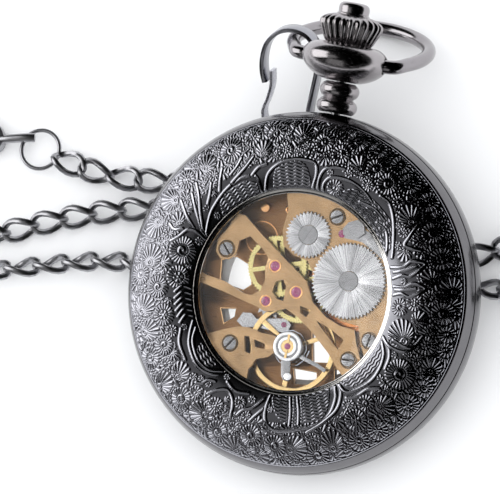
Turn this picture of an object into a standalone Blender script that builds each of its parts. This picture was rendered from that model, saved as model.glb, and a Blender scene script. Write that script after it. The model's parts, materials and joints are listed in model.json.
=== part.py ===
"""Open-face pocket watch with a see-through back, lying back upwards on its own bow, with its chain.

Sizes below are in millimetres. The watch is drawn in its own frame: x to the right as seen from the
back, u from the centre towards the crown, n out of the back. The whole watch is then tilted, because
it rests on its front bezel and on the folded bow. The chain, its clip and its clasp lie on the table.
"""

import math

import bpy
import bmesh
from mathutils import Matrix, Vector

MM = 0.001

# Case
CASE_R = 23.5  # widest radius
WIDEST_N = -0.5  # level of the widest line
RIM_W = 3.2  # how far the rounded rim reaches in from the widest line
RIM_BACK_H = 4.6  # height of the rounded rim above the widest line
RIM_FRONT_H = 4.2  # and below it
SEAM_DEG = 18  # where the two covers meet the middle, up and down the rim's arc
SEAM_GAP = 0.1
CASE_WALL = 3.1  # the middle's wall
COVER_WALL = 0.95
WINDOW_R = 12.75  # the opening in the back cover
WINDOW_N = 4.7  # level of the window's lip
CREST_R = 17.0
CREST_N = 5.3
GLASS_T = 0.75
GLASS_GAP = 0.15
BEZEL_OUT_R = 19.0  # outer edge of the bezel's flat lip, on which the watch rests
BEZEL_IN_R = 17.9
BEZEL_N = 5.8  # the bezel's flat lip is this far in front of n = 0
MOVEMENT_RING_T = 3.0

# Pendant, crown, stem and bow
BORE_R = 0.78
STEM_R = 0.6
STEM_IN_U = 12.6  # inner end of the stem
BEAD_R = (2.65, 2.55)
BEAD_U = (24.45, 26.65)
BEAD_H = 2.1
BULB_R = 5.65
BULB_U = 30.6  # the bulb's widest line and the bow's pivot axis
BULB_LOW_U = 27.75
BULB_TOP_U = 33.0
CROWN_R = 4.15
CROWN_LOW_U = 32.35
CROWN_TOP_U = 36.5
CROWN_RIBS = 24
RIB_DEPTH = 0.3
POMMEL_R = 2.05
POMMEL_TOP_U = 38.1
PIVOT_HALF = 6.0  # half the span between the bow's ends
BOW_R = 8.8  # the bow's ring, at the middle of its wire
BOW_WIRE_R = 0.9
BOW_FOLD = math.radians(70)  # from upright, towards the front
BOW_HOLE_R = 1.1
BOW_PIN_IN = 4.85

# Movement levels, along n
MAIN_N = (-1.4, -0.6)
MAIN_R = 16.6
BRIDGE_N = (2.1, 2.7)
BRIDGE_R = 16.0
TOP_WHEEL_N = (2.8, 3.08)
FOOT_GAP = 0.1
PIVOT_GAP = 0.06  # radial room of a shaft in its hole

# Movement places, (x, u)
BARREL_AT = (6.7, 2.6)
SECOND_AT = (0.27, 5.6)
THIRD_AT = (-3.4, 2.8)
FOURTH_AT = (0.0, 0.0)
ESCAPE_AT = (-3.8, -1.8)
PALLET_AT = (-1.5, -4.3)
BALANCE_AT = (0.2, -7.0)
CROWN_WHEEL_AT = (0.3, 7.5)
MINUTE_AT = (2.6, 0.0)

CLICK_AT = (6.2, 9.2)
BARREL_SCREWS = ((3.6, 10.4), (10.7, -4.4))
TRAIN_SCREWS = ((-10.2, 3.9), (8.4, -7.3))
COCK_SCREW = (-7.5, -7.9)
COCK_FOOT = (-9.6, -10.6)
PALLET_FOOT = (-6.75, -4.5)

# Each wheel's level
BARREL_N = (-0.5, -0.15)
DRUM_N = (-0.05, 0.55)
SECOND_N = (0.7, 0.9)
FOURTH_N = (1.06, 1.26)
THIRD_N = (1.45, 1.65)
ESCAPE_N = (-0.1, 0.12)
PALLET_BRIDGE_N = (0.25, 0.5)
BALANCE_N = (0.66, 0.96)

# Tooth counts
BARREL_TEETH = 64
SECOND_TEETH = 64
THIRD_TEETH = 60
FOURTH_TEETH = 70
PINION_LEAVES = 8
ESCAPE_LEAVES = 7
ESCAPE_TEETH = 15
RATCHET_TEETH = 60
CROWN_WHEEL_TEETH = 36
CANNON_LEAVES = 10
MINUTE_TEETH = 30
MINUTE_LEAVES = 8
HOUR_TEETH = 32
WINDING_LEAVES = 18
ADDENDUM = 0.09
DEDENDUM = 0.14
RATCHET_R = 4.9
CROWN_WHEEL_R = 2.98
DRUM_R = (5.3, 5.7)
BALANCE_R = 5.75
SCREW_SHANK = 0.4

# Dial side
DIAL_N = (-2.95, -2.65)
DIAL_R = (10.5, 17.3)
HOUR_HAND_N = (-3.5, -3.3)
MINUTE_HAND_N = (-4.1, -3.9)
HOUR_HAND_L = 9.6
MINUTE_HAND_L = 14.0

# Chain, clip and clasp, on the table
CHAIN_R = 1.25
CHAIN_POINTS = 60
STRIP_T = 0.6  # thickness of the clip's strip
STRIP_W = 2.2  # and its width, across the clip's plane
LEAF_T = 0.4
LEAF_W = 1.8
LEAF_AT = (-2.0, -14.2)  # where the leaf bends from, in the clip's plane
CLIP_SLOPE = math.radians(29.8)
CLIP_ON_BOW = math.radians(190)  # where along the bow's ring the clip hangs
RING_R = 2.6
RING_WIRE_R = 0.5
RING_AT = (-42.1, 13.9)
CLASP_TURN = math.radians(182)

STEPS = 32  # round the case
FINE = 16
SMALL = 12

STEEL = (0.62, 0.62, 0.64)
GUNMETAL = (0.12, 0.12, 0.13)
GILT = (0.68, 0.47, 0.22)
WHEEL_BRASS = (0.77, 0.68, 0.36)


# ---------------------------------------------------------------- helpers

def material(name, colour, metallic, roughness, alpha=1.0):
    found = bpy.data.materials.new(name)
    found.use_nodes = True
    shader = found.node_tree.nodes["Principled BSDF"]
    shader.inputs["Base Color"].default_value = (*colour, 1.0)
    shader.inputs["Metallic"].default_value = metallic
    shader.inputs["Roughness"].default_value = roughness
    shader.inputs["Alpha"].default_value = alpha
    return found


def empty(name, parent=None):
    made = bpy.data.objects.new(name, None)
    bpy.context.collection.objects.link(made)
    made.parent = parent
    return made


def finish_mesh(bm, name):
    bmesh.ops.remove_doubles(bm, verts=bm.verts, dist=1e-7)
    bmesh.ops.recalc_face_normals(bm, faces=bm.faces)
    mesh = bpy.data.meshes.new(name)
    bm.to_mesh(mesh)
    bm.free()
    mesh.shade_smooth()
    mesh.set_sharp_from_angle(angle=math.radians(35))
    return mesh


def place(mesh, name, finish, parent, at=(0, 0, 0), turn=(0, 0, 0)):
    """A new object of that mesh, at a place in millimetres under its parent."""
    made = bpy.data.objects.new(name, mesh)
    bpy.context.collection.objects.link(made)
    made.parent = parent
    made.location = Vector(at) * MM
    made.rotation_euler = turn
    mesh.materials.append(finish)
    return made


def helper(made):
    """Makes the object a cutter or an operand: not a piece of its own."""
    made.hide_render = True
    made.display_type = "WIRE"
    return made


def combine(made, operand, operation):
    modifier = made.modifiers.new(operation.title(), "BOOLEAN")
    modifier.operation = operation
    modifier.object = helper(operand)
    return made


def turned(name, profile, steps=FINE, open_ends=False, ribs=(), depth=0.0):
    """A mesh turned about its z axis from (radius, height) points. With open_ends the profile starts
    and ends on the axis. ribs lists the points that every second step pulls in by depth."""
    bm = bmesh.new()
    ring = [bm.verts.new((r * MM, 0, h * MM)) for r, h in profile]
    links = zip(ring, ring[1:] + ([] if open_ends else ring[:1]))
    edges = [bm.edges.new(pair) for pair in links]
    bmesh.ops.spin(bm, geom=ring + edges, cent=(0, 0, 0), axis=(0, 0, 1), angle=math.tau,
                   steps=steps, use_merge=True)
    wanted = {(round(profile[i][0], 4), round(profile[i][1], 4)) for i in ribs}
    for vert in bm.verts:
        radius = math.hypot(vert.co.x, vert.co.y)
        step = round(math.atan2(vert.co.y, vert.co.x) / math.tau * steps)
        if step % 2 and (round(radius / MM, 4), round(vert.co.z / MM, 4)) in wanted:
            vert.co.xy *= 1 - depth * MM / radius
    return finish_mesh(bm, name)


def flat(name, outline, low, high, holes=()):
    """A mesh of a flat plate with holes, between two heights."""
    curve = bpy.data.curves.new(name, "CURVE")
    curve.dimensions = "2D"
    curve.fill_mode = "BOTH"
    curve.extrude = (high - low) / 2 * MM
    for loop in (outline, *holes):
        spline = curve.splines.new("POLY")
        spline.points.add(len(loop) - 1)
        for point, (x, y) in zip(spline.points, loop):
            point.co = (x * MM, y * MM, 0, 1)
        spline.use_cyclic_u = True
    drawn = bpy.data.objects.new(name + "_outline", curve)
    mesh = bpy.data.meshes.new_from_object(drawn)
    bpy.data.objects.remove(drawn)
    bm = bmesh.new()
    bm.from_mesh(mesh)
    bpy.data.meshes.remove(mesh)
    bmesh.ops.translate(bm, verts=bm.verts, vec=(0, 0, (low + high) / 2 * MM))
    return finish_mesh(bm, name)


def circle(radius, steps=FINE, at=(0, 0), start=0.0, end=math.tau):
    """Points round a circle, or along an arc of it with both its ends."""
    whole = abs(end - start - math.tau) < 1e-9
    count = steps if whole else steps + 1
    turns = [start + (end - start) * i / steps for i in range(count)]
    return [(at[0] + radius * math.cos(a), at[1] + radius * math.sin(a)) for a in turns]


def teeth(count, pitch_r, phase=0.0, tall=ADDENDUM, deep=DEDENDUM, lean=0.0):
    """A gear's outline: pointed teeth whose tips stand tall over the pitch circle, and whose roots lie
    deep below it. phase turns the first tip from the x axis, and lean tips each tooth over."""
    points = []
    for i in range(count):
        tip = phase + math.tau * i / count
        root = tip + math.pi / count
        points.append(((pitch_r + tall) * math.cos(tip + lean), (pitch_r + tall) * math.sin(tip + lean)))
        points.append(((pitch_r - deep) * math.cos(root), (pitch_r - deep) * math.sin(root)))
    return points


def sector(inner, outer, middle, half_gap, count=4):
    """The outline of one opening between two spokes."""
    reach_out = math.pi / count - half_gap / outer
    reach_in = math.pi / count - half_gap / inner
    arc = circle(outer, 3, start=middle - reach_out, end=middle + reach_out)
    return arc + circle(inner, 2, start=middle - reach_in, end=middle + reach_in)[::-1]


def ribbon(path, thick):
    """The outline of a strip of that thickness along a path in its plane."""
    left, right = [], []
    for i, (x, y) in enumerate(path):
        ahead = path[min(i + 1, len(path) - 1)]
        behind = path[max(i - 1, 0)]
        along = Vector((ahead[0] - behind[0], ahead[1] - behind[1])).normalized()
        left.append((x - along.y * thick / 2, y + along.x * thick / 2))
        right.append((x + along.y * thick / 2, y - along.x * thick / 2))
    return left + right[::-1]


def smooth(points, count, closed=False):
    """count points spread evenly along a smooth curve through the points (2-D or 3-D)."""
    points = [Vector(p) for p in points]
    last = len(points) if closed else len(points) - 1
    fine = []
    for i in range(last):
        if closed:
            a, b, c, d = (points[(i + k) % len(points)] for k in (-1, 0, 1, 2))
        else:
            b, c = points[i], points[i + 1]
            a = points[i - 1] if i else 2 * b - c
            d = points[i + 2] if i + 2 < len(points) else 2 * c - b
        for step in range(16):
            t = step / 16
            fine.append(0.5 * (2 * b + (c - a) * t + (2 * a - 5 * b + 4 * c - d) * t ** 2
                               + (3 * b - a - 3 * c + d) * t ** 3))
    fine.append(points[0] if closed else points[-1])
    along = [0.0]
    for one, two in zip(fine, fine[1:]):
        along.append(along[-1] + (two - one).length)
    found, k = [], 0
    for i in range(count):
        at = along[-1] * i / (count if closed else count - 1)
        while along[k + 1] < at - 1e-9:
            k += 1
        share = (at - along[k]) / (along[k + 1] - along[k])
        found.append(fine[k].lerp(fine[k + 1], share))
    return found


def tube(name, points, radius, closed=False, resolution=2):
    """A curve object's data: a round wire through 3-D points in millimetres."""
    curve = bpy.data.curves.new(name, "CURVE")
    curve.dimensions = "3D"
    curve.bevel_depth = radius * MM
    curve.bevel_resolution = resolution
    curve.use_fill_caps = True
    spline = curve.splines.new("POLY")
    spline.points.add(len(points) - 1)
    for point, co in zip(spline.points, points):
        point.co = (*(Vector(co) * MM), 1)
    spline.use_cyclic_u = closed
    return curve


def at_n(place_xu, n=0.0):
    return (place_xu[0], place_xu[1], n)


def between(one, two):
    return math.hypot(one[0] - two[0], one[1] - two[1])


def heading(one, two):
    return math.atan2(two[1] - one[1], two[0] - one[0])


# ---------------------------------------------------------------- resting pose

def bow_reach():
    """From the pivot axis to the far side of the bow's ring, at the middle of the wire."""
    return math.sqrt(BOW_R ** 2 - PIVOT_HALF ** 2) + BOW_R


def resting_tilt():
    """The tilt at which the bezel's lip and the bow's tip touch the same plane."""
    run = BULB_U + bow_reach() * math.cos(BOW_FOLD) + BEZEL_OUT_R
    rise = BEZEL_N - bow_reach() * math.sin(BOW_FOLD)
    return math.asin(BOW_WIRE_R / math.hypot(run, rise)) - math.atan2(rise, run)


def resting_height():
    tilt = resting_tilt()
    return BEZEL_OUT_R * math.sin(tilt) + BEZEL_N * math.cos(tilt)


def on_table(x, u, n):
    """A point of the watch's frame in the table's frame, in millimetres."""
    return watch_matrix() @ Vector((x, u, n))


def watch_matrix():
    """The watch's frame in the table's, whose origin is under the middle of the length of it all."""
    tilt = Matrix.Rotation(resting_tilt(), 4, "X")
    low = (tilt @ Vector((0, -CASE_R, WIDEST_N))).y
    reach = bow_reach()
    tip = Vector((0, BULB_U + reach * math.cos(BOW_FOLD), -reach * math.sin(BOW_FOLD)))
    high = (tilt @ tip).y + BOW_WIRE_R
    return Matrix.Translation((0, -(low + high) / 2, resting_height())) @ tilt


# ---------------------------------------------------------------- case

def rim(degrees, inset=0.0):
    """A point of the rounded rim's section: 0 at the widest line, 90 at the top, -90 at the bottom."""
    a = math.radians(degrees)
    tall = RIM_BACK_H if degrees > 0 else RIM_FRONT_H
    return (CASE_R - RIM_W + (RIM_W - inset) * math.cos(a), WIDEST_N + (tall - inset) * math.sin(a))


def build_case(watch, shell, glass):
    seam_high = rim(SEAM_DEG)[1]
    seam_low = rim(-SEAM_DEG)[1]
    inner = CASE_R - CASE_WALL
    middle = [(inner, seam_low), rim(-SEAM_DEG), rim(0), rim(SEAM_DEG), (inner, seam_high)]
    case = place(turned("case_middle", middle, STEPS), "case_middle", shell, watch)
    drill = turned("stem_hole", [(0, 19), (BORE_R, 19), (BORE_R, 25), (0, 25)], SMALL, open_ends=True)
    drill = place(drill, "stem_hole", shell, watch, turn=(-math.pi / 2, 0, 0))
    combine(case, drill, "DIFFERENCE")

    start = math.degrees(math.asin((seam_high + SEAM_GAP - WIDEST_N) / RIM_BACK_H))
    outer = [rim(start + (90 - start) * i / 3) for i in range(4)]
    dome = [((CREST_R + CASE_R - RIM_W) / 2, (CREST_N + rim(90)[1]) / 2 + 0.15), (CREST_R, CREST_N),
            ((CREST_R + WINDOW_R) / 2, (CREST_N + WINDOW_N) / 2 + 0.15), (WINDOW_R, WINDOW_N)]
    seat = WINDOW_N - 0.4
    under = [(WINDOW_R, seat), ((CREST_R + WINDOW_R) / 2, CREST_N - COVER_WALL),
             (CREST_R, CREST_N - COVER_WALL), (CASE_R - RIM_W, rim(90)[1] - COVER_WALL),
             (CASE_R - COVER_WALL - 0.35, outer[0][1])]
    place(turned("back_cover", outer + dome + under, STEPS), "back_cover", shell, watch)

    top = seat - GLASS_GAP
    edge_r = WINDOW_R + 0.55
    back_glass = [(0, top - GLASS_T), (edge_r, top - GLASS_T), (edge_r, top - 0.2), (WINDOW_R, top),
                  (0, top)]
    place(turned("back_crystal", back_glass, STEPS, open_ends=True), "back_crystal", glass, watch)

    end = math.degrees(math.asin((WIDEST_N - seam_low + SEAM_GAP) / RIM_FRONT_H))
    front = [rim(-(end + (75 - end) * i / 3)) for i in range(4)]
    lip = [(BEZEL_OUT_R, -BEZEL_N), (BEZEL_IN_R, -BEZEL_N), (BEZEL_IN_R, 1.0 - BEZEL_N),
           (BEZEL_IN_R + 1.6, 1.8 - BEZEL_N), (CASE_R - CASE_WALL + 0.5, front[0][1])]
    place(turned("front_bezel", (front + lip)[::-1], STEPS), "front_bezel", shell, watch)

    low = 0.2 - BEZEL_N
    pane = BEZEL_IN_R - GLASS_GAP
    front_glass = [(0, low), (pane - 0.3, low), (pane, low + 0.2), (pane, low + GLASS_T),
                   (0, low + GLASS_T)]
    place(turned("front_crystal", front_glass, STEPS, open_ends=True), "front_crystal", glass, watch)

    ring_out = inner - 0.2
    flange_low = BRIDGE_N[1] + 0.12
    flange_in = WINDOW_R + 0.45
    holder = [(ring_out, -1.5), (ring_out, 2.6), (ring_out - 1, 3.2), (flange_in, 3.2), (flange_in, flange_low),
              (ring_out - MOVEMENT_RING_T, flange_low), (ring_out - MOVEMENT_RING_T, -1.5)]
    ring = place(turned("movement_ring", holder[::-1], STEPS), "movement_ring", shell, watch)
    slot = flat("ring_slot", [(-2.4, 15), (2.4, 15), (2.4, 22), (-2.4, 22)], -2.4, 2.3)
    combine(ring, place(slot, "ring_slot", shell, watch), "DIFFERENCE")


def build_pendant(watch, shell):
    upright = (-math.pi / 2, 0, 0)
    low = CASE_R + 0.12
    waist = (BEAD_U[0] + BEAD_U[1]) / 2
    neck = [(BORE_R, low), (2.2, low)]
    for radius, middle in zip(BEAD_R, BEAD_U):
        for degrees in (-50, 0, 50):
            a = math.radians(degrees)
            neck.append((radius - 0.9 + 0.9 * math.cos(a), middle + BEAD_H / 2 * math.sin(a)))
        if middle < waist:
            neck.append((1.75, waist))
    top = BULB_LOW_U - 0.1
    neck += [(1.8, top), (BORE_R, top)]
    place(turned("pendant_neck", neck[::-1], FINE), "pendant_neck", shell, watch, turn=upright)

    wide = BULB_R
    bulb = [(BORE_R, BULB_LOW_U), (1.9, BULB_LOW_U), (3.4, BULB_LOW_U + 0.5), (wide - 0.7, BULB_U - 1.5),
            (wide, BULB_U), (wide - 0.55, BULB_U + 1.5), (wide - 1.7, BULB_TOP_U),
            (wide - 2.2, BULB_TOP_U), (wide - 2.9, CROWN_LOW_U - 0.35), (BORE_R, CROWN_LOW_U - 0.35)]
    body = place(turned("pendant_bulb", bulb[::-1], 24), "pendant_bulb", shell, watch, turn=upright)
    for side, label in ((1, "right"), (-1, "left")):
        pit = [(0, BOW_PIN_IN - 0.35), (BOW_HOLE_R, BOW_PIN_IN - 0.35), (BOW_HOLE_R, 8), (0, 8)]
        cutter = place(turned("bow_hole_" + label, pit, SMALL, open_ends=True), "bow_hole_" + label,
                       shell, watch, at=(0, BULB_U, 0), turn=(0, side * math.pi / 2, 0))
        combine(body, cutter, "DIFFERENCE")

    stem_top = CROWN_LOW_U + 0.3
    rod = [(0, STEM_IN_U), (STEM_R, STEM_IN_U), (STEM_R, stem_top), (0, stem_top)]
    place(turned("stem", rod, SMALL, open_ends=True), "stem", shell, watch, turn=upright)

    mid = CROWN_LOW_U + (CROWN_TOP_U - CROWN_LOW_U) * 0.55
    crown = [(0, stem_top + 0.15), (BORE_R, stem_top + 0.15), (BORE_R, CROWN_LOW_U),
             (CROWN_R - 1.5, CROWN_LOW_U), (CROWN_R - 0.4, mid - 1.0), (CROWN_R, mid),
             (CROWN_R - 1.3, CROWN_TOP_U - 0.35), (POMMEL_R, CROWN_TOP_U),
             (POMMEL_R, POMMEL_TOP_U - 0.6), (0, POMMEL_TOP_U)]
    knurled = turned("crown", crown, 2 * CROWN_RIBS, open_ends=True, ribs=(4, 5, 6), depth=RIB_DEPTH)
    place(knurled, "crown", shell, watch, turn=upright)


def build_bow(watch, shell):
    """The bow, whose parent empty stands on its pivot axis and holds the fold."""
    hinge = empty("bow_hinge", watch)
    hinge.location = Vector((0, BULB_U, 0)) * MM
    hinge.rotation_euler = (-BOW_FOLD, 0, 0)
    middle = math.sqrt(BOW_R ** 2 - PIVOT_HALF ** 2)
    arc = [(BOW_R * math.cos(a), middle + BOW_R * math.sin(a), 0)
           for a in (math.radians(-30 + 240 * i / 20) for i in range(21))]
    end = PIVOT_HALF + 0.35
    path = [(BOW_PIN_IN, 0, 0), (PIVOT_HALF, 0, 0), (end + 0.75, 0.75, 0), *arc,
            (-end - 0.75, 0.75, 0), (-PIVOT_HALF, 0, 0), (-BOW_PIN_IN, 0, 0)]
    wire = tube("bow", path, BOW_WIRE_R)
    made = bpy.data.objects.new("bow", wire)
    bpy.context.collection.objects.link(made)
    made.parent = hinge
    wire.materials.append(shell)


# ---------------------------------------------------------------- movement

def screw(name, watch, steel, at, low, top, head_r=0.8, shank_r=0.4, turn=0.6):
    """A cheese-head screw whose head stands on top of a plate at height top."""
    sunk = top + 0.03
    profile = [(0, low), (shank_r, low), (shank_r, sunk), (head_r, sunk), (head_r, sunk + 0.22),
               (0, sunk + 0.22)]
    made = place(turned(name, profile, SMALL, open_ends=True), name, steel, watch, at_n(at))
    slot = flat(name + "_slot", [(-1, -0.07), (1, -0.07), (1, 0.07), (-1, 0.07)], sunk + 0.1, sunk + 0.5)
    cutter = place(slot, name + "_slot", steel, watch, at_n(at), (0, 0, turn))
    return combine(made, cutter, "DIFFERENCE")


def post(name, watch, finish, at, radius, top):
    """A foot that a bridge stands on, reaching into it, for a union."""
    low = MAIN_N[1] + FOOT_GAP
    column = turned(name, [(0, low), (radius, low), (radius, top), (0, top)], SMALL, open_ends=True)
    return place(column, name, finish, watch, at_n(at))


def build_plates(watch, gilt, steel):
    hole = SCREW_SHANK + 0.06
    wide = 2.4
    notch = 10.4
    side = math.sqrt(MAIN_R ** 2 - wide ** 2)
    start = math.atan2(side, -wide)
    round_plate = circle(MAIN_R, STEPS - 2, start=start, end=math.tau + math.pi - start)
    main_outline = round_plate + [(wide, notch), (-wide, notch)]
    windows = [[(-11.3, 2.3), (-9.5, 3.0), (-7.5, 2.2), (-7.0, -0.1), (-7.9, -0.9), (-11.0, -0.4)],
               [(-10.3, -3.7), (-8.4, -3.4), (-8.4, -4.4), (-9.6, -5.4)],
               [(1.9, -4.2), (3.2, -4.0), (5.4, -6.6), (4.8, -7.9), (2.7, -8.2)],
               [(0.4, -9.4), (3.4, -9.4), (3.7, -10.9), (0.9, -11.3)],
               [(5.7, -8.6), (6.9, -8.6), (6.7, -9.7), (5.9, -9.9)]]
    plate = flat("main_plate", main_outline, *MAIN_N, holes=windows + [circle(0.3, 8)])
    place(plate, "main_plate", gilt, watch)

    outline = [(-3.0, 10.2), (-3.3, 7.6), (-2.8, 5.6), (-1.2, 4.6), (0.7, 4.2), (2.0, 2.4), (2.4, 0.7),
               (3.3, -0.7), (4.9, -1.9), (6.6, -2.6), (8.9, -2.8), (9.6, -5.0), (10.5, -6.8),
               (10.9, -8.6)]
    outline += circle(BRIDGE_R, 10, start=math.radians(-38), end=math.radians(112))
    outline += [(-3.7, 12.6)]
    arbor_hole = circle(0.95, SMALL, BARREL_AT)
    wheel_hole = circle(0.5, 8, CROWN_WHEEL_AT)
    holes = [circle(hole, 8, at) for at in BARREL_SCREWS] + [arbor_hole, wheel_hole]
    bridge = place(flat("barrel_bridge", outline, *BRIDGE_N, holes=holes), "barrel_bridge", gilt, watch)
    for i, at in enumerate(((-4.6, 13.6), (13.4, -3.6), (7.5, 12.9))):
        combine(bridge, post(f"barrel_bridge_foot_{i}", watch, gilt, at, 1.1, BRIDGE_N[0] + 0.3), "UNION")

    outline = [(-9.6, 8.6), (-8.5, 8.5), (-5.8, 6.4), (-2.6, 4.2), (1.1, 1.6), (2.4, -0.9), (4.6, -2.5),
               (6.5, -3.2), (8.5, -3.4), (9.1, -5.2), (10.0, -7.0), (9.3, -8.6), (8.0, -9.4),
               (7.1, -8.6), (5.6, -6.9), (3.2, -4.8), (0.8, -3.1), (-1.0, -2.3), (-2.3, -2.8),
               (-3.7, -3.1), (-5.3, -2.6), (-9.5, -1.6), (-12.4, -1.0), (-13.6, -0.9), (-13.6, 0.6),
               (-12.0, 0.1), (-9.8, -0.2), (-7.0, -1.3), (-5.9, -1.4), (-4.8, -0.6), (-4.4, 0.8),
               (-4.7, 2.4), (-4.5, 3.7), (-5.5, 4.7), (-7.4, 6.0), (-8.7, 5.2), (-8.8, 3.4),
               (-9.6, 2.6), (-10.8, 2.5), (-11.6, 3.4), (-11.6, 4.9), (-10.5, 6.6)]
    holes = [[(-3.0, 0.9), (-2.0, 1.3), (-1.5, 0.5), (-1.5, -1.4), (-2.4, -1.3), (-3.2, -0.5)],
             [(0.8, -1.6), (2.3, -1.9), (1.9, -2.9), (1.0, -2.5)],
             [(3.3, -3.1), (5.5, -3.9), (7.3, -4.9), (6.8, -6.2), (5.2, -4.9)]]
    holes += [circle(hole, 8, at) for at in TRAIN_SCREWS]
    holes += [circle(0.5, SMALL, at) for at in (THIRD_AT, FOURTH_AT, ESCAPE_AT)]
    bridge = place(flat("train_bridge", outline, *BRIDGE_N, holes=holes), "train_bridge", gilt, watch)
    for i, at in enumerate(((-9.8, 7.2), (9.0, -5.9), (-13.0, -0.2))):
        radius = 0.55 if i < 2 else 0.5
        combine(bridge, post(f"train_bridge_foot_{i}", watch, gilt, at, radius, BRIDGE_N[0] + 0.3), "UNION")

    outline = [(-8.9, -6.4), (-6.8, -5.6), (-5.4, -5.5), (-3.5, -5.9), (-2.2, -5.9)]
    outline += circle(1.7, 8, BALANCE_AT, math.radians(150), math.radians(-150))
    outline += [(-2.2, -8.8), (-3.7, -9.3), (-4.5, -10.8), (-4.4, -12.6), (-6.6, -13.2), (-9.4, -12.6),
                (-11.9, -10.4), (-12.2, -8.4), (-10.6, -7.2)]
    holes = [[(-5.8, -6.7), (-5.1, -6.6), (-4.9, -7.3), (-4.5, -7.9), (-4.6, -8.8), (-5.4, -8.6)],
             [(-4.4, -6.9), (-2.9, -7.2), (-2.8, -7.9), (-4.1, -7.8)], circle(hole, 8, COCK_SCREW),
             circle(0.4, SMALL, BALANCE_AT)]
    cock = place(flat("balance_cock", outline, *BRIDGE_N, holes=holes), "balance_cock", gilt, watch)
    combine(cock, post("balance_cock_foot", watch, gilt, COCK_FOOT, 1.5, BRIDGE_N[0] + 0.3), "UNION")

    outline = [(-7.7, -4.9), (-7.1, -3.7), (-6.0, -3.6), (-5.2, -4.2), (-2.6, -3.7), (-1.3, -3.5),
               (-0.6, -4.2), (-0.9, -5.2), (-2.4, -5.3), (-5.0, -5.25), (-6.8, -5.5)]
    low = PALLET_BRIDGE_N[0]
    bridge = flat("pallet_bridge", outline, *PALLET_BRIDGE_N, holes=[circle(0.22, 8, PALLET_AT)])
    bridge = place(bridge, "pallet_bridge", steel, watch)
    combine(bridge, post("pallet_bridge_foot", watch, steel, PALLET_FOOT, 0.5, low + 0.12), "UNION")

    for i, at in enumerate(BARREL_SCREWS):
        screw(f"barrel_bridge_screw_{i + 1}", watch, steel, at, BRIDGE_N[0], BRIDGE_N[1], turn=0.5 + i)
    for i, at in enumerate(TRAIN_SCREWS):
        screw(f"train_bridge_screw_{i + 1}", watch, steel, at, BRIDGE_N[0], BRIDGE_N[1], turn=0.2 + 0.9 * i)
    screw("balance_cock_screw", watch, steel, COCK_SCREW, BRIDGE_N[0], BRIDGE_N[1], turn=1.1)


def spoked_wheel(name, watch, finish, at, levels, outline, rim_in, hub, spoke=0.28, turn=0.0, count=4):
    openings = [sector(hub + 0.35, rim_in, turn + math.tau * (i + 0.5) / count, spoke, count)
                for i in range(count)]
    openings.append(circle(hub, SMALL))
    return place(flat(name, outline, *levels, holes=openings), name, finish, watch, at_n(at))


def pinion(name, watch, steel, at, leaves, pitch_r, levels, ends, shaft_r=0.2, phase=0.0):
    """A shaft with leaves: one piece, with both its pivots."""
    tall = min(ADDENDUM, pitch_r * 0.25)
    cut = flat(name, teeth(leaves, pitch_r, phase, tall, DEDENDUM), *levels)
    made = place(cut, name, steel, watch, at_n(at))
    low, high = ends
    shaft = [(0, low), (shaft_r, low), (shaft_r, high), (0, high)]
    rod = place(turned(name + "_shaft", shaft, SMALL, open_ends=True), name + "_shaft", steel, watch, at_n(at))
    return combine(made, rod, "UNION")


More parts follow.
